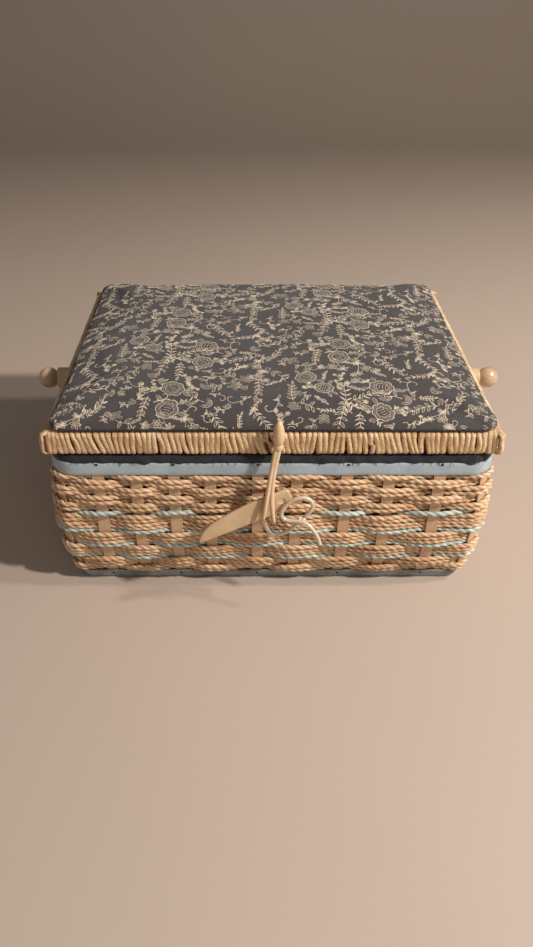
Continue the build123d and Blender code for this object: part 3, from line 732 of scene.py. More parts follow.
rng = np.random.default_rng(11)
for number in range(1, 15):
    node = f"weave_course_{number:02d}"
    low, high = (corner[2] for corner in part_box(node))
    tall = high - low + weave["gap"]
    cords = int(round(tall / weave["pitch"]))
    heights = [high + weave["gap"] / 2 - (index + 0.5) * tall / cords for index in range(cords)]
    cordParts = [cordPart(height, number in weave["outsideFirst"], rng) for height in heights]
    look = ("aqua_cord", "aquaCordPaper") if number in weave["aqua"] else ("paper_cord", "weaveCordPaper")
    addPiece(f"woven_{number:02d}", cordParts, "basket", *look, node)
print("Courses woven")


# Rim wound with paper twine

rim = {
    "width": 0.265,
    "depth": 0.208,
    "corner": 0.0034,
    "cornerBulge": 0.0022,
    "bottom": float(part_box("lid_rim_wrap")[0][2]),
    "top": float(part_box("lid_rim_wrap")[1][2]),
    "thick": 0.008,
    "rounding": 0.0018,
    "twine": 0.0024,
    "strandWidth": 0.0039,
    "pitch": 0.00325,
    "perTurn": 36,
    "slant": 0.0011,
    "bow": 0.00045,
    "stray": 0.00035,
    "twistPitch": 0.034,
    "plyOffset": 0.17,
    "plySize": 0.84,
    # where the turns part: along the front from its middle, share of the height, how far, over how much
    "partings": ((-0.1154, 0.45, 0.0022, 0.004), (-0.066, 0.45, 0.0030, 0.004),
                 (0.0569, 0.4, 0.0020, 0.0035), (0.1178, 0.4, 0.0022, 0.0035),
                 (-0.0034, 0.35, 0.0040, 0.0045)),
}


def windRim():
    rng = np.random.default_rng(5)
    halfX, halfY = rim["width"] / 2, rim["depth"] / 2
    origin, outward, reach, along, total = roundStations(halfX, halfY, rim["corner"], 0.0005)
    turns = int(round(total / rim["pitch"]))
    turn = np.arange(turns * rim["perTurn"]) / rim["perTurn"]

    def byTurn(values):
        return np.interp(turn, np.arange(turns), values, period=turns)

    # the section's outline starts under the rim's bottom and goes out and up first
    half = rim["twine"] / 2
    halfOut, halfUp = rim["thick"] / 2 - half, (rim["top"] - rim["bottom"]) / 2 - half
    middles, ways, far, sectionAlong, sectionLength = roundStations(halfOut, halfUp, rim["rounding"], 0.0001)
    outline = middles + ways * far[:, None]
    done = turn % 1 * sectionLength
    across, rise, normalOut, normalUp = (
        np.interp(done, sectionAlong, line, period=sectionLength) for line in (*outline.T, *ways.T))
    level = rise / halfUp  # -1 at the bottom, 1 at the top
    slope = byTurn(1.0 + 0.55 * rng.normal(0, 1, turns) + 0.7 * ringNoise(turns, total / 0.05, rng))
    place = turn * total / turns - level * rim["slant"] * slope
    place = place + rim["bow"] * byTurn(rng.normal(0, 1, turns)) * (1 - level**2)
    place = place + rim["stray"] * byTurn(rng.normal(0, 1, turns))
    for centre, share, push, spread in rim["partings"]:
        gap = (place - centre + total / 2) % total - total / 2
        near = np.exp(-(((level + 1) / 2 - share) / 0.35) ** 2) * (across > 0) * 0.5
        place = place + push * np.sign(gap) * np.exp(-np.abs(gap) / spread) * near
    index = (place % total) / total * len(along)
    station = np.floor(index).astype(int) % len(along)
    outward, origin, reach = outward[station], origin[station], reach[station]
    tangent = np.stack([-outward[:, 1], outward[:, 0]], 1)
    straight = np.isin(reach, (halfX, halfY))
    fine = (index - np.floor(index)) * total / len(along) * straight
    swell = byTurn(rng.normal(0, 1, turns))
    bulge = rim["cornerBulge"] * (1 - straight) * np.clip(across / halfOut, 0, 1)
    reach = np.maximum(reach - rim["thick"] / 2 + across - 0.0001 * swell + bulge, 0.0003)
    centre = origin + tangent * fine[:, None] + outward * reach[:, None]
    stride = sectionLength / rim["perTurn"]
    tightness = byTurn(rng.uniform(-0.8, 0.8, turns))
    twist = 2 * np.pi * np.arange(len(turn)) * stride / rim["twistPitch"] + tightness
    lobe, shape = plyOutline(rim["plyOffset"], rim["plySize"], 9)
    angle = lobe + twist[:, None]
    sideways = (rim["strandWidth"] / 2 * (1 + 0.09 * swell))[:, None] * shape * np.cos(angle)
    out = half * 0.98 * shape * np.sin(angle)
    spots = centre[:, None] + tangent[:, None] * sideways[..., None]
    spots = spots + outward[:, None] * (normalOut[:, None] * out)[..., None]
    rises = (rim["bottom"] + rim["top"]) / 2 + rise[:, None] + normalUp[:, None] * out
    return gridPart(np.concatenate([spots, rises[..., None]], 2), stride=stride)


addPiece("rim_winding", [windRim()], "lid", "paper_twine", "rimTwinePaper", "lid_rim_wrap")
print("Rim wound")


# Satin tapes at the top and the foot, nailed to every second slat

tape = {
    "thick": 0.0008,
    "seat": 0.0001,
    "waver": 0.00022,
    "pull": 0.00008,
    "step": 0.003,
    # share of the tape's height and thickness
    "profile": ((0.0, 0.25), (0.0, 0.75), (0.03, 1.0), (0.25, 1.04), (0.5, 1.05), (0.75, 1.04), (0.97, 1.0),
                (1.0, 0.75), (1.0, 0.25), (0.97, 0.0), (0.5, 0.0), (0.03, 0.0)),
}


def tapePart(low, high, seed):
    rng = np.random.default_rng(seed)
    outline = (wall["bellyX"], wall["bellyY"], wall["corner"])
    origin, outward, reach, along, total = roundStations(*outline, tape["step"])
    inner = wall["slat"] / 2 + tape["seat"]
    lowEdge = low + np.abs(ringNoise(len(along), total / 0.03, rng)) * tape["waver"] * 0.6
    highEdge = high - np.abs(ringNoise(len(along), total / 0.018, rng)) * tape["waver"]
    pull = ringNoise(len(along), total / 0.02, rng) * tape["pull"]
    columns = []
    for rise, depth in tape["profile"]:
        height = lowEdge + (highEdge - lowEdge) * rise
        shift = inner + tape["thick"] * depth + (pull if depth > 0.5 else 0)
        columns.append(ringAt(origin, outward, wallReach(reach, shift, height), height))
    return gridPart(np.stack(columns, 1))


topLow, topHigh = (float(corner[2]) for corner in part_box("top_band"))
baseLow, baseHigh = (float(corner[2]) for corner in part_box("base_band"))
addPiece("top_tape", [tapePart(topLow, topHigh, 21)], "basket", "satin_tape", "satinTape", "top_band")
addPiece("base_tape", [tapePart(baseLow, baseHigh, 22)], "basket", "satin_tape", "footShadeTape", "base_band")

tacks = {
    "size": (0.0009, 0.0005),
    "heights": (topLow + (topHigh - topLow) * 0.86, baseLow + (baseHigh - baseLow) * 0.62),
    "profile": ((0.35, -0.8), (0.95, 0.0), (1.0, 0.25), (0.85, 0.62), (0.5, 0.9), (0.12, 1.0)),
}
tackParts = []
for origin, angle, reach, corner in slatList[::2]:
    outward = np.array([math.cos(math.radians(angle)), math.sin(math.radians(angle))])
    for height in tacks["heights"]:
        far = float(wallReach(reach, wall["slat"] / 2 + tape["seat"] + tape["thick"], height))
        place = (*(origin + outward * far), height)
        tackParts.append(turnedPart(tacks["profile"], tacks["size"], place, (*outward, 0.05), 12))
addPiece("tacks", tackParts, "basket", "hinge_metal", "tackMetal")
print("Tapes nailed")


# Lining folded over the mouth, with its raw edge

edge = {
    "step": 0.0011,
    "waver": 0.00075,
    "lump": 0.00022,
    "rise": 0.0002,
    "threads": 300,
    "cornerThreads": 80,  # frayed at the front right
    "threadRadius": 0.00012,
    # distance in from the outside, share of the height
    "profile": ((0.0003, -0.16), (-0.0001, 0.05), (0.0, 0.4), (0.0003, 0.75), (0.0014, 0.97), (0.004, 1.0),
                (0.008, 0.96), (0.0108, 0.7), (0.0113, 0.1), (0.0113, -0.5), (0.0102, -0.5), (0.0098, 0.4),
                (0.006, 0.6), (0.0022, 0.35), (0.0014, -0.1)),
}


def edgeParts():
    rng = np.random.default_rng(31)
    low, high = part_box("lining_edge")
    bottom = low[2]
    origin, outward, reach, along, total = roundStations(high[0], high[1], wall["corner"], edge["step"])
    count = len(along)
    ragged = 0.5 * ringNoise(count, total / 0.02, rng) + 0.45 * ringNoise(count, total / 0.004, rng)
    lump = ringNoise(count, total / 0.008, rng) * edge["lump"]
    rise = ringNoise(count, total / 0.012, rng) * edge["rise"]
    columns = []
    for column, (inward, share) in enumerate(edge["profile"]):
        height = bottom + (high[2] - bottom) * share + (rise if share > 0.5 else 0)
        if column in (0, len(edge["profile"]) - 1):
            height = height + ragged * edge["waver"]
        columns.append(ringAt(origin, outward, reach - inward + (lump if column < 7 else 0), height))
    parts = [gridPart(np.stack(columns, 1))]
    picks = list(rng.uniform(0, total, edge["threads"]))
    picks += list(cornerX + rng.uniform(-0.002, 0.024, edge["cornerThreads"]))
    radii = np.linspace(edge["threadRadius"], edge["threadRadius"] * 0.5, 4)
    for place in picks:
        index = int(place / total * count) % count
        way = outward[index]
        start = origin[index] + way * (reach[index] + 0.0001)
        drop = rng.uniform(0.0008, 0.0026)
        lean = np.array([-way[1], way[0]]) * rng.normal(0, 0.0009)
        push = way * rng.uniform(0.0001, 0.0006)
        line = [(*start, bottom + 0.0006), (*(start + lean * 0.3 + push), bottom - drop * 0.3),
                (*(start + lean + push * 0.6), bottom - drop)]
        parts.append(tubePart(bezier(line, 4), radii, 4))
    return parts


linedMouth = addPiece("lining_raw_edge", edgeParts(), "basket", "edge_cloth", "rawEdgeCloth", "lining_edge")
print("Raw edge folded")


# Cloth inside the box: down the wall and in over the floor

inner = {
    "step": 0.004,
    "pucker": 0.0005,
    "cloth": 0.0006,
    "corner": 0.0058,
    "wallRings": 24,
    "floorShares": (0.0, 0.02, 0.05, 0.1, 0.2, 0.35, 0.5, 0.7, 0.9),
}


def innerPart():
    rng = np.random.default_rng(41)
    low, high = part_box("lining")
    halfX, halfY = high[0] - inner["cloth"], high[1] - inner["cloth"]
    origin, outward, reach, along, total = roundStations(halfX, halfY, inner["corner"], inner["step"])
    mouth, floorward, whole = (ringNoise(len(along), total / 0.014, rng) for layer in range(3))
    rings = []
    for height in np.linspace(high[2], low[2] + 0.004, inner["wallRings"]):
        share = len(rings) / (inner["wallRings"] - 1)
        depth = (mouth * (1 - share) ** 3 + 0.4 * floorward * share**3 + 0.25 * whole) * inner["pucker"]
        rings.append(ringAt(origin, outward, reach - inner["cloth"] - np.abs(depth), height))
    for share in inner["floorShares"]:
        height = low[2] + 0.0012 + 0.0016 * math.exp(-share * 40) + 0.0008 * share
        rings.append(ringAt(origin, outward, reach - 0.002, height) * (1 - share, 1 - share, 1))
    return gridPart(rings, ("last",))


insideCloth = addPiece("inside_cloth", [innerPart()], "basket", "lining_cloth", "liningCloth", "lining")
thicken = insideCloth.modifiers.new("cloth", "SOLIDIFY")
thicken.thickness = inner["cloth"]
thicken.offset = 0.0
print("Box lined")


# Padded lid cover: cloth blown up over the pad, then printed

pad = {
    "seat": float(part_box("lid_cover")[0][2]),
    "lip": rim["top"] + 0.0018,
    "foot": 0.0084,
    "inset": 0.0030,
    "frontSpread": 0.0014,  # the cover's front corners reach out over the rim
    "frontFace": -0.1038,  # the cover hangs over the rim's front
    "shoulder": 0.009,
    "edgeHeight": 0.0080,
    "crown": 0.0040,
    "crownRings": ((0.2, 0.42), (0.4, 0.68), (0.65, 0.9), (0.9, 1.0)),  # share of the way in, of the crown
    "corner": 0.0020,
    "voxel": 0.0034,
    "cap": 0.0022,
    "frames": 20,
    "creaseDepth": 0.0009,
    "tuckDepth": 0.00022,
    "cloth": {"quality": 6, "mass": 0.3, "tension_stiffness": 15, "compression_stiffness": 15,
              "shear_stiffness": 5, "bending_stiffness": 0.5, "use_pressure": True,
              "uniform_pressure_force": 4.0},
}


# A ring of count points inside the rim's outline
def insetRing(halfX, halfY, corner, height, count):
    origin, outward, reach = roundStations(halfX, halfY, corner, 0.002)[:3]
    spots = resampleRing(origin + outward * reach[:, None], count)[0]
    return np.column_stack([spots, np.broadcast_to(height, count)])


def padPart():
    edgeInset = pad["inset"] + pad["shoulder"]
    edgeTop = pad["lip"] + pad["edgeHeight"]
    levels = [(pad["seat"] + 0.0005, pad["foot"], 0.0045), (rim["top"] + 0.0002, pad["foot"], 0.0045),
              (rim["top"] + 0.0003, pad["inset"] + 0.0006, pad["corner"])]
    for angle in np.radians((0, 30, 60, 90)):
        levels.append((pad["lip"] + pad["edgeHeight"] * math.sin(angle),
                       pad["inset"] + pad["shoulder"] * (1 - math.cos(angle)), pad["corner"]))
    for across, up in pad["crownRings"]:
        inset = edgeInset + across * (rim["depth"] / 2 - edgeInset)
        levels.append((edgeTop + pad["crown"] * up, inset, 0.006))
    rings = [insetRing(rim["width"] / 2 - inset, rim["depth"] / 2 - inset, corner, height, 96)[::-1]
             for height, inset, corner in levels]
    return gridPart(rings, bothEnds)


def applyModifiers(piece):
    made = bpy.data.meshes.new_from_object(piece.evaluated_get(bpy.context.evaluated_depsgraph_get()))
    piece.modifiers.clear()
    piece.data = made


def readSpots(piece):
    spots = np.zeros(len(piece.data.vertices) * 3)
    piece.data.vertices.foreach_get("co", spots)
    return spots.reshape(-1, 3)


def blowUp(cover):
    start = readSpots(cover)
    held = cover.vertex_groups.new(name="held")
    low = np.flatnonzero(start[:, 2] < pad["lip"] - 0.0005)
    held.add([int(index) for index in low], 1.0, "REPLACE")
    cloth = cover.modifiers.new("cloth", "CLOTH")
    for key, value in pad["cloth"].items():
        setattr(cloth.settings, key, value)
    cloth.settings.effector_weights.gravity = 0
    cloth.settings.vertex_group_mass = "held"
    cloth.collision_settings.use_collision = False
    for step in range(1, pad["frames"] + 1):
        scene.frame_set(step)
    applyModifiers(cover)
    scene.frame_set(1)
    move = readSpots(cover) - start
    far = np.linalg.norm(move, axis=1)
    print("Pad swelled by up to", round(float(far.max()) * 1000, 2), "mm before the cap")
    move *= np.minimum(1, pad["cap"] / np.maximum(far, 1e-9))[:, None]
    cover.data.vertices.foreach_set("co", (start + move).ravel())


# The front pulled over the rim, tucks along the edges, and a long shallow crease near the front
def drape(cover):
    spots = readSpots(cover)
    x, y, z = spots.T
    share = np.clip((-y - 0.05) / 0.05, 0, 1)
    drawn = share * share * (3 - 2 * share) * np.clip((z - rim["top"] + 0.0006) / 0.0006, 0, 1)
    y += (pad["frontFace"] - y.min()) * drawn
    x += pad["frontSpread"] * drawn * x / (rim["width"] / 2)
    crease = np.exp(-((y + 0.1016 - 0.0006 * np.sin(x * 90)) / 0.0014) ** 2 - ((x - 0.052) / 0.032) ** 4)
    tuckX = np.sin(x * 330 + 2 * np.sin(x * 70)) * np.exp(-((rim["depth"] / 2 - np.abs(y)) / 0.010) ** 2)
    tuckY = np.sin(y * 300 + 2 * np.sin(y * 60)) * np.exp(-((rim["width"] / 2 - np.abs(x)) / 0.010) ** 2)
    above = np.clip((z - rim["top"] - 0.002) / 0.004, 0, 1)
    z -= above * (pad["creaseDepth"] * crease + pad["tuckDepth"] * (tuckX + tuckY))
    cover.data.vertices.foreach_set("co", spots.ravel())
    cover.data.update()


padCover = makeObject("lid_padded_cover", [padPart()])
remesh = padCover.modifiers.new("remesh", "REMESH")
remesh.mode = "VOXEL"
remesh.voxel_size = pad["voxel"]
applyModifiers(padCover)
blowUp(padCover)
smooth = padCover.modifiers.new("smooth", "SUBSURF")
smooth.levels = smooth.render_levels = 1
applyModifiers(padCover)
padCover.data.shade_smooth()
drape(padCover)
settle(padCover, "lid", "printed_cotton", "calicoGround", "lid_cover", "lid_pad")
print("Lid padded:", len(padCover.data.vertices), "points")


# The cover's print. Motifs are drawn in shares of their size; a stroke is a line, its half width (in
# pen lines, or a share of the size at each point) and its layer.

calico = {
    "repeatX": 0.104,
    "repeatY": 0.102,
    "motifs": 42,
    "fillers": 44,
    "line": 0.00027,
    "round": 0.0072,  # arc over which the print follows the cloth down its sides
    "lastTurn": 1.7,
    "core": 0.0026,
    "ink": ((-1.0, -0.00004), (0.0, 0.00006), (1.0, -0.00004)),  # share of a line's half width, lift
    "wash": ((-1.0, -0.00004), (-0.8, 0.000045), (0.0, 0.000045), (0.8, 0.000045), (1.0, -0.00004)),
    "turn": 0.02,
    "seed": 3,
}


def polar(radius, turns, squash=1.0):
    return np.stack([radius * np.cos(turns), radius * squash * np.sin(turns)], 1)


def arcLine(radius, start, end, steps, squash=1.0, centre=(0, 0)):
    return polar(radius, np.radians(np.linspace(start, end, steps)), squash) + centre


def ink(points, steps, pen=1.1):
    return bezier(points, steps), pen, "ink"


def wash(line, width, *shares):
    return line, [share * width for share in shares], "wash"


# A pointed leaf: two bowed sides and perhaps a vein and a wash, or one broad stroke
def leaf(base, angle, length, width, vein=True, solid=False, washed=False):
    base = np.array(base)
    ahead = np.array([math.cos(angle), math.sin(angle)])
    side = np.array([-ahead[1], ahead[0]])
    tip = base + ahead * length
    middle = bezier([base, (base + tip) / 2, tip], 5)
    if solid:
        return [(middle, [share * width for share in (0.15, 0.55, 0.65, 0.4, 0.08)], "ink")]
    bends = [base + ahead * length * 0.45 + side * width * way for way in (-1, 1)]
    strokes = [ink([base, bend, tip], 6, 1.0) for bend in bends]
    if vein:
        strokes.append((middle[:4], 0.7, "ink"))
    if washed:
        strokes.append(wash(middle, width, 0.1, 0.45, 0.55, 0.4, 0.05))
    return strokes


def blossom(rng):
    petals = rng.choice((6, 7, 8))
    squash = 0.86
    strokes = []
    for scale, depth, pen in ((1.0, 0.16, 1.7), (0.62, 0.2, 1.0)):
        turns = np.linspace(0, 2 * np.pi, petals * 6 + 1)
        radius = scale * (1 - depth + depth * np.abs(np.sin(turns * petals / 2)) ** 0.6)
        strokes.append((polar(radius, turns, squash), pen, "ink"))
    strokes.append(wash(arcLine(0.76, 0, 360, 25, squash), 0.13, *[1.0] * 25))
    for index in range(petals * 2):
        reach = np.array([0.66, rng.uniform(0.76, 0.86)])
        strokes.append((polar(reach, math.pi * (index + 0.5) / petals, squash), 0.7, "ink"))
    for place in (-0.36, -0.12, 0.12, 0.36):
        strokes.append(ink([(place, -0.3), (place + 0.1, 0), (place, 0.3)], 4, 0.8))
    for index in range(4):
        turn = rng.uniform(0, 2 * math.pi)
        base = (math.cos(turn), 0.9 * math.sin(turn))
        strokes += leaf(base, turn, rng.uniform(0.6, 0.9), 0.3, washed=True)
    return strokes


def bud(rng):
    strokes = [(arcLine(radius, -20, 200, 8, 1.2), 1.0, "ink") for radius in (0.5, 0.32)]
    strokes.append(wash(bezier([(0, 0), (0, 0.3), (0, 0.5)], 4), 1.0, 0.2, 0.34, 0.3, 0.1))
    for turn in np.radians(range(20, 170, 22)):
        line = [(0.1 * math.cos(turn), 0.1), (0.48 * math.cos(turn), 0.56 * math.sin(turn))]
        strokes.append((np.array(line), 0.8, "ink"))
    strokes.append(ink([(0, -0.1), (0.2, -0.9), (-0.3, -1.5)], 7))
    strokes += leaf((0.08, -0.6), -0.4, 0.8, 0.22)
    strokes += leaf((0, -0.9), 3.6, 0.7, 0.2)
    return strokes + leaf((0, -1.2), 0.1, 0.6, 0.2, solid=True)


def berries(rng):
    strokes = [wash(bezier([(-0.45, 0), (0, 0), (0.6, 0)], 5), 1.0, 0.2, 0.42, 0.45, 0.42, 0.15)]
    for row in range(-1, 2):
        for column in range(-1, 2):
            if rng.random() < 0.9:
                centre = (column * 0.36 + (row % 2) * 0.18, row * 0.32)
                strokes.append((arcLine(0.15, 0, 360, 7, 1.0, centre), 0.8, "ink"))
    strokes.append(ink([(0, -0.5), (0.3, -1), (0.9, -1.3), (1.4, -1.2)], 8))
    for share, turn in ((0.3, -2.2), (0.55, 0.3), (0.8, -1.5), (1.0, 0.4)):
        base = (0.1 + 1.1 * share, -0.6 - 0.7 * share)
        strokes += leaf(base, turn, 0.75, 0.24, vein=rng.random() < 0.5)
    return strokes


def sprig(rng):
    bend = rng.uniform(-0.6, 0.6)
    stem = bezier([(-1, 0), (-0.3, bend), (0.4, -bend * 0.5), (1.1, 0.2)], 12)
    strokes = [(stem, 1.1, "ink")]
    for index in range(1, 11, 2):
        ahead = stem[index + 1] - stem[index]
        for way in (-1, 1):
            turn = math.atan2(ahead[1], ahead[0]) + way * rng.uniform(0.6, 1.0)
            length = rng.uniform(0.36, 0.54)
            strokes += leaf(stem[index], turn, length, 0.15, vein=False, solid=rng.random() < 0.35)
    return strokes + leaf(stem[-1], 0.2, 0.5, 0.18)


def daisies(rng):
    strokes = []
    for centre, scale in (((0, 0), 0.52), ((0.95, 0.5), 0.4), ((-0.75, 0.62), 0.36)):
        for turn in 2 * np.pi * np.arange(6) / 6 + 0.3:
            base = np.array(centre) + scale * 0.25 * np.array([math.cos(turn), math.sin(turn)])
            strokes += leaf(base, turn, scale * 0.75, scale * 0.42, vein=False)
        strokes.append((arcLine(scale * 0.2, 0, 360, 7, 1.0, centre), 0.9, "ink"))
    for x, y in ((0, -0.3), (0.9, 0.2), (-0.7, 0.35)):
        strokes.append(ink([(0.2, -1.5), (0.2, -0.8), (x * 0.8, y - 0.2), (x, y)], 8))
    for turn in (0.5, 2.4, 1.2, -0.4):
        strokes += leaf((0.2, -1.5 + rng.uniform(0.1, 0.6)), turn, 0.65, 0.22)
    return strokes


def tendril(rng):
    turns = np.linspace(0, 4.4, 16)
    spiral = polar(0.12 + 0.17 * turns, turns)
    end = spiral[-1]
    strokes = [(spiral, 1.1, "ink"), ink([end, end + (0.2, -0.5), end + (0.9, -0.7)], 6)]
    for share, turn in ((0.3, -2.4), (0.6, -0.2), (0.8, 1.2), (1.0, -0.6)):
        base = end + np.array([0.9, -0.7]) * share
        strokes += leaf(base, turn, 0.65, 0.24, vein=False, solid=rng.random() < 0.4)
    return strokes


motifKinds = ((blossom, 0.0066, "blooms"), (sprig, 0.0086, "sprays"), (berries, 0.0060, "blooms"),
              (daisies, 0.0062, "blooms"), (bud, 0.0064, "blooms"), (sprig, 0.0078, "sprays"),
              (tendril, 0.0058, "sprays"))
fillerKinds = ((sprig, 0.0046, "fillers"), (berries, 0.0034, "fillers"), (daisies, 0.0036, "fillers"),
               (tendril, 0.0034, "fillers"))


# Even scatter of motifs in one repeat, counted across the half drop to its neighbours
def repeatPlaces(rng):
    width, height = calico["repeatX"], calico["repeatY"]
    shifts = [(right * width, (up + right / 2) * height) for right in (-1, 0, 1) for up in range(-2, 3)]
    places = []
    for count in range(calico["motifs"] + calico["fillers"]):
        tries = [(rng.uniform(0, width), rng.uniform(0, height)) for attempt in range(60)]
        taken = (np.array(places).reshape(-1, 1, 2) + shifts).reshape(-1, 2)
        gaps = [min([1.0, *np.linalg.norm(taken - spot, axis=1)]) for spot in tries]
        places.append(tries[int(np.argmax(gaps))])
    return places


def turnLine(line, angle):
    return line @ np.array([(math.cos(angle), math.sin(angle)), (-math.sin(angle), math.cos(angle))])


printedX = rim["width"] / 2 - pad["inset"] - calico["round"]
printedFront = (-printedX, pad["frontFace"] + calico["round"])
printedBack = (printedX, rim["depth"] / 2 - pad["inset"] - calico["round"])


# Nearest point of the cloth's flat middle, and the turn down its side that spot lies at
def flatCore(spot):
    core = np.clip(spot, printedFront, printedBack)
    return core, np.linalg.norm(spot - core, axis=-1) / calico["round"]


# Where a point of the flat print lies on the cloth, lifted off it; None beside the cloth
def onCloth(tree, spot, lift):
    core, turn = flatCore(spot)
    way = Vector((0, 0, 1))
    if turn > 0:
        aside = (spot - core) / np.linalg.norm(spot - core) * math.sin(turn)
        way = Vector((*aside, math.cos(turn)))
    middle = Vector((*core, rim["top"] + calico["core"]))
    hit, normal = tree.ray_cast(middle + way * 0.06, -way)[:2]
    return None if hit is None else hit + normal * lift


# A printed stroke: a low ridge that follows the cloth, cut where the cloth ends
def inkParts(tree, line, widths, ribs):
    parts = []
    kept = np.flatnonzero(flatCore(line)[1] < calico["lastTurn"])
    for run in np.split(kept, np.flatnonzero(np.diff(kept) > 1) + 1):
        if len(run) < 2:
            continue
        ahead = np.gradient(line[run], axis=0)
        lengths = np.linalg.norm(ahead, axis=1)
        if lengths.min() < 1e-7:
            continue
        side = np.stack([-ahead[:, 1], ahead[:, 0]], 1) / lengths[:, None] * widths[run][:, None]
        points = [onCloth(tree, spot + way * share, lift)
                  for spot, way in zip(line[run], side) for share, lift in ribs]
        if None not in points:
            parts.append(gridPart(np.array(points).reshape(len(run), len(ribs), 3), bothEnds))
    return parts


# The ink and wash strokes over the whole cover, in half-drop repeats
def printCloth():
    rng = random.Random(calico["seed"])
    faces = [tuple(face.vertices) for face in padCover.data.polygons]
    tree = BVHTree.FromPolygons([tuple(spot) for spot in readSpots(padCover)], faces)
    motifs = []
    for index, place in enumerate(repeatPlaces(rng)):
        kinds = motifKinds if index < calico["motifs"] else fillerKinds
        drawing, size, group = kinds[index % len(kinds)]
        size *= rng.uniform(0.88, 1.2)
        strokes = drawing(rng)
        reached = np.vstack([line for line, width, layer in strokes])
        middle = (reached.min(0) + reached.max(0)) / 2
        turn, flip = rng.uniform(0, 2 * math.pi), rng.choice((-1, 1))
        for line, width, layer in strokes:
            drawn = turnLine((line - middle) * size * (flip, 1), turn)
            half = np.broadcast_to(np.array(width) * (size if np.ndim(width) else calico["line"]), len(line))
            motifs.append((place, drawn, half, calico[layer], "wash" if layer == "wash" else group))
    parts = {"blooms": [], "sprays": [], "fillers": [], "wash": []}
    for column in range(-2, 4):
        for row in range(-3, 4):
            for place, line, half, ribs, group in motifs:
                base = (place[0] + column * calico["repeatX"] - 0.1,
                        place[1] + (row + column % 2 / 2) * calico["repeatY"] - 0.08)
                if abs(base[0]) <= 0.15 and abs(base[1]) <= 0.12:
                    parts[group] += inkParts(tree, turnLine(line + base, calico["turn"]), half, ribs)
    return parts


for group, drawn in printCloth().items():
    material = "calicoWash" if group == "wash" else "calicoInk"
    addPiece("lid_calico_" + group, drawn, "lid", "printed_cotton", material)
    print("Cloth printed,", group + ":", len(drawn), "strokes")


# Cloth under the lid

under = {
    # distance in from the edge, height above the cloth's bottom or, for the first two, below its top
    "rings": ((0.0002, 0.0), (0.0, -0.0008), (0.0005, 0.0009), (0.0025, 0.0003), (0.008, 0.0001),
              (0.02, 0.0002), (0.04, 0.0004), (0.07, 0.0005)),
    "wrinkle": 0.00012,
    "corner": 0.0045,
    "count": 160,
}


def underLidPart():
    rng = np.random.default_rng(51)
    low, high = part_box("lid_lining")
    rings = []
    for index, (inset, rise) in enumerate(under["rings"]):
        halfX, halfY, height = high[0] - inset, high[1] - inset, rise + (high[2] if index < 2 else low[2])
        height = height + ringNoise(under["count"], 60, rng) * under["wrinkle"] * math.exp(-inset / 0.01)
        rings.append(insetRing(halfX, halfY, under["corner"], height, under["count"]))
    return gridPart(rings, bothEnds)


underLid = addPiece("lid_inside_cloth", [underLidPart()], "lid", "lining_cloth", "liningCloth", "lid_lining")
print("Lid lined")


# Closure: acorn-headed peg and leaf-shaped toggle

peg = {
    "place": (0.003, -0.1083, 0.1127),
    "head": ((1.75, -2.6), (2.15, -2.45), (2.45, -2.0), (2.6, -1.2), (2.6, -0.2), (2.5, 0.7), (2.3, 1.3),
             (2.35, 1.75), (2.7, 2.2), (3.05, 3.0), (3.28, 4.2), (3.38, 5.8), (3.36, 7.8), (3.22, 9.8),
             (2.95, 11.6), (2.5, 13.4), (1.95, 14.8), (1.25, 15.9), (0.6, 16.4), (0.15, 16.52)),
    "legs": (
        ((-0.0009, 0, 0), (-0.0050, -0.0054, -0.020), (-0.0062, -0.01, -0.031), (-0.0084, -0.0126, -0.044)),
        ((0.0009, 0, 0), (-0.0042, -0.0056, -0.0205), (-0.0044, -0.0094, -0.033), (-0.0018, -0.0126, -0.0464)),
    ),
    "legRadius": (0.00145, 0.00150, 0.00150, 0.00148, 0.00142, 0.00132, 0.0009),
}
legRadii = np.interp(np.linspace(0, 1, 26), np.linspace(0, 1, 7), peg["legRadius"])
pegParts = [turnedPart(peg["head"], (0.001, 0.001), peg["place"], (0, 0, 1), 32)]
pegParts += [tubePart(bezier(leg, 26) + peg["place"], legRadii, 14) for leg in peg["legs"]]
addPiece("acorn_peg", pegParts, "latch", "ivory_plastic", "pegPlastic", "latch_peg")

toggle = {
    "hole": (0.006, -0.11296, 0.0774),
    "slope": 25.5,  # tip below the horizontal
    "lean": 9.0,  # tip away from the wall
    "thick": 0.0024,
    "holeRadius": 0.0015,
    # corners of its outline in millimetres from the hole: head, shoulder, tip, foot and heel
    "corners": ((-6.4, 5.6), (44, 6.6), (57.4, -2.2), (4, -7), (-5.6, -3)),
    # distance in, then share of the way to the hole, each with its share of half the thickness
    "edge": ((0.0, 0.35), (0.00012, 0.62), (0.0004, 0.85), (0.0009, 0.97)),
    "face": ((0.12, 1.0), (0.35, 0.97), (0.6, 0.93), (0.82, 0.95), (0.95, 0.93), (1.0, 0.75)),
}


def turnedBy(angle):
    return np.array([[math.cos(angle), -math.sin(angle)], [math.sin(angle), math.cos(angle)]])


# Arc from start to end that leaves start along tangent, and its direction at the end
def arcThrough(start, end, tangent, steps):
    start, tangent = np.array(start, float), np.array(tangent, float)
    tangent /= np.linalg.norm(tangent)
    normal = np.array([-tangent[1], tangent[0]])
    chord = np.array(end, float) - start
    centre = start + normal * np.dot(chord, chord) / (2 * np.dot(chord, normal))
    angle = 2 * math.atan2(np.dot(chord, normal), np.dot(chord, tangent))
    points = [centre + turnedBy(angle * share) @ (start - centre) for share in np.linspace(0, 1, steps)]
    return np.array(points), turnedBy(angle) @ tangent


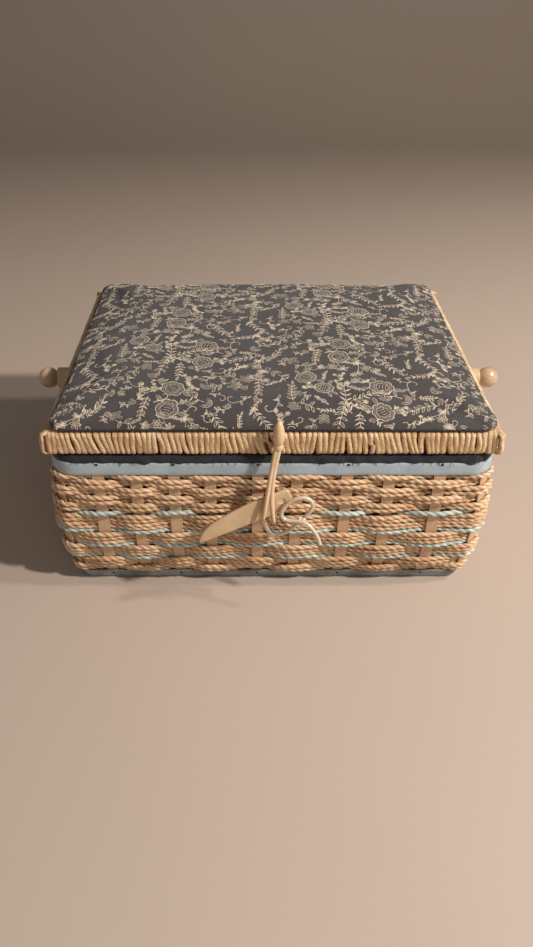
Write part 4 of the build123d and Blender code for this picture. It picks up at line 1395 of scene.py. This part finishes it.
def togglePart():
    head, shoulder, end, foot, heel = np.array(toggle["corners"])
    upper, leaving = arcThrough(head, shoulder, (1, 0.18), 22)
    tip = arcThrough(shoulder, end, leaving, 14)[0]
    lower = np.linspace(end, foot, 22)
    bottom = arcThrough(foot, heel, foot - end, 8)[0]
    back = np.linspace(heel, head, 7)
    outline = np.vstack([line[:-1] for line in (upper, tip, lower, bottom, back)]) / 1000
    outline = smoothRing(resampleRing(outline, 140)[0], 1.6)
    ahead = ringAhead(outline)
    inward = np.stack([ahead[:, 1], -ahead[:, 0]], 1)
    inward *= np.sign(np.sum(inward * -outline, 1).mean())
    hole = outline / np.linalg.norm(outline, axis=1)[:, None] * toggle["holeRadius"]
    edgeLine = outline + inward * 0.0012
    rings = [(outline + inward * inset, rise) for inset, rise in toggle["edge"]]
    rings += [(edgeLine * (1 - share) + hole * share, rise) for share, rise in toggle["face"]]
    slope, lean = math.radians(toggle["slope"]), math.radians(toggle["lean"])
    along = np.array([-math.cos(lean) * math.cos(slope), -math.sin(lean), -math.cos(lean) * math.sin(slope)])
    across = np.array([-math.sin(slope), 0, math.cos(slope)])
    normal = np.cross(along, across) * toggle["thick"] / 2
    sides = [(ring, -rise) for ring, rise in rings[::-1]] + rings
    grid = [ring[:, :1] * along + ring[:, 1:] * across + rise * normal for ring, rise in sides]
    return gridPart(np.array(grid) + toggle["hole"])


addPiece("leaf_toggle", [togglePart()], "toggle", "ivory_plastic", "ivoryPlastic", "toggle")
print("Closure made")


# Hinge screws

lidLeafTop = float(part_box("lid_hinge_leaves")[1][2])
bodyLeafFoot, bodyFace = float(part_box("body_hinge_leaves")[0][2]), float(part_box("body_hinge_leaves")[0][1])
screws = {
    "size": (0.0016, 0.0006),
    "hinges": (-0.075, 0.075),
    "across": 0.0078,
    "profile": ((1.0, -0.3), (1.0, 0.15), (0.9, 0.6), (0.6, 0.9), (0.25, 1.0), (0.02, 1.0)),
    "lid": (rim["depth"] / 2 + 0.001, lidLeafTop - 0.0045),
    "basket": (bodyFace + 0.001, bodyLeafFoot + 0.0035),
}
for body, name in (("lid", "lid_hinge_screws"), ("basket", "body_hinge_screws")):
    places = [hinge + side * screws["across"] for hinge in screws["hinges"] for side in (-1, 0, 1)]
    screwParts = [turnedPart(screws["profile"], screws["size"], (place, *screws[body]), (0, 1, 0), 16)
                  for place in places]
    addPiece(name, screwParts, body, "hinge_metal", "hingeMetal")


# CAD pieces that keep their shape

finishes = {
    "boxWood": ("base_board", "top_frame", "lid_board"),
    "shadowedFrameWood": ("lid_frame",),
    "caneSlat": ("stakes_front", "stakes_right", "stakes_back", "stakes_left", "stakes_corners"),
    "kraftCard": ("card_liner",),
    "hingeMetal": ("body_hinge_leaves", "lid_hinge_leaves"),
    "pinMetal": ("hinge_pins", "handle_pins"),
    "ivoryPlastic": ("handle", "handle_spacers"),
    "knobPlastic": ("handle_knobs",),
    "clearLacing": ("toggle_tie", "latch_tie"),
}
for material, names in finishes.items():
    for name in names:
        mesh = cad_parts[name].data
        mesh.materials.clear()
        mesh.materials.append(materials[material])
        mesh.shade_smooth()
        mesh.set_sharp_from_angle(angle=math.radians(32))
print("CAD pieces finished")
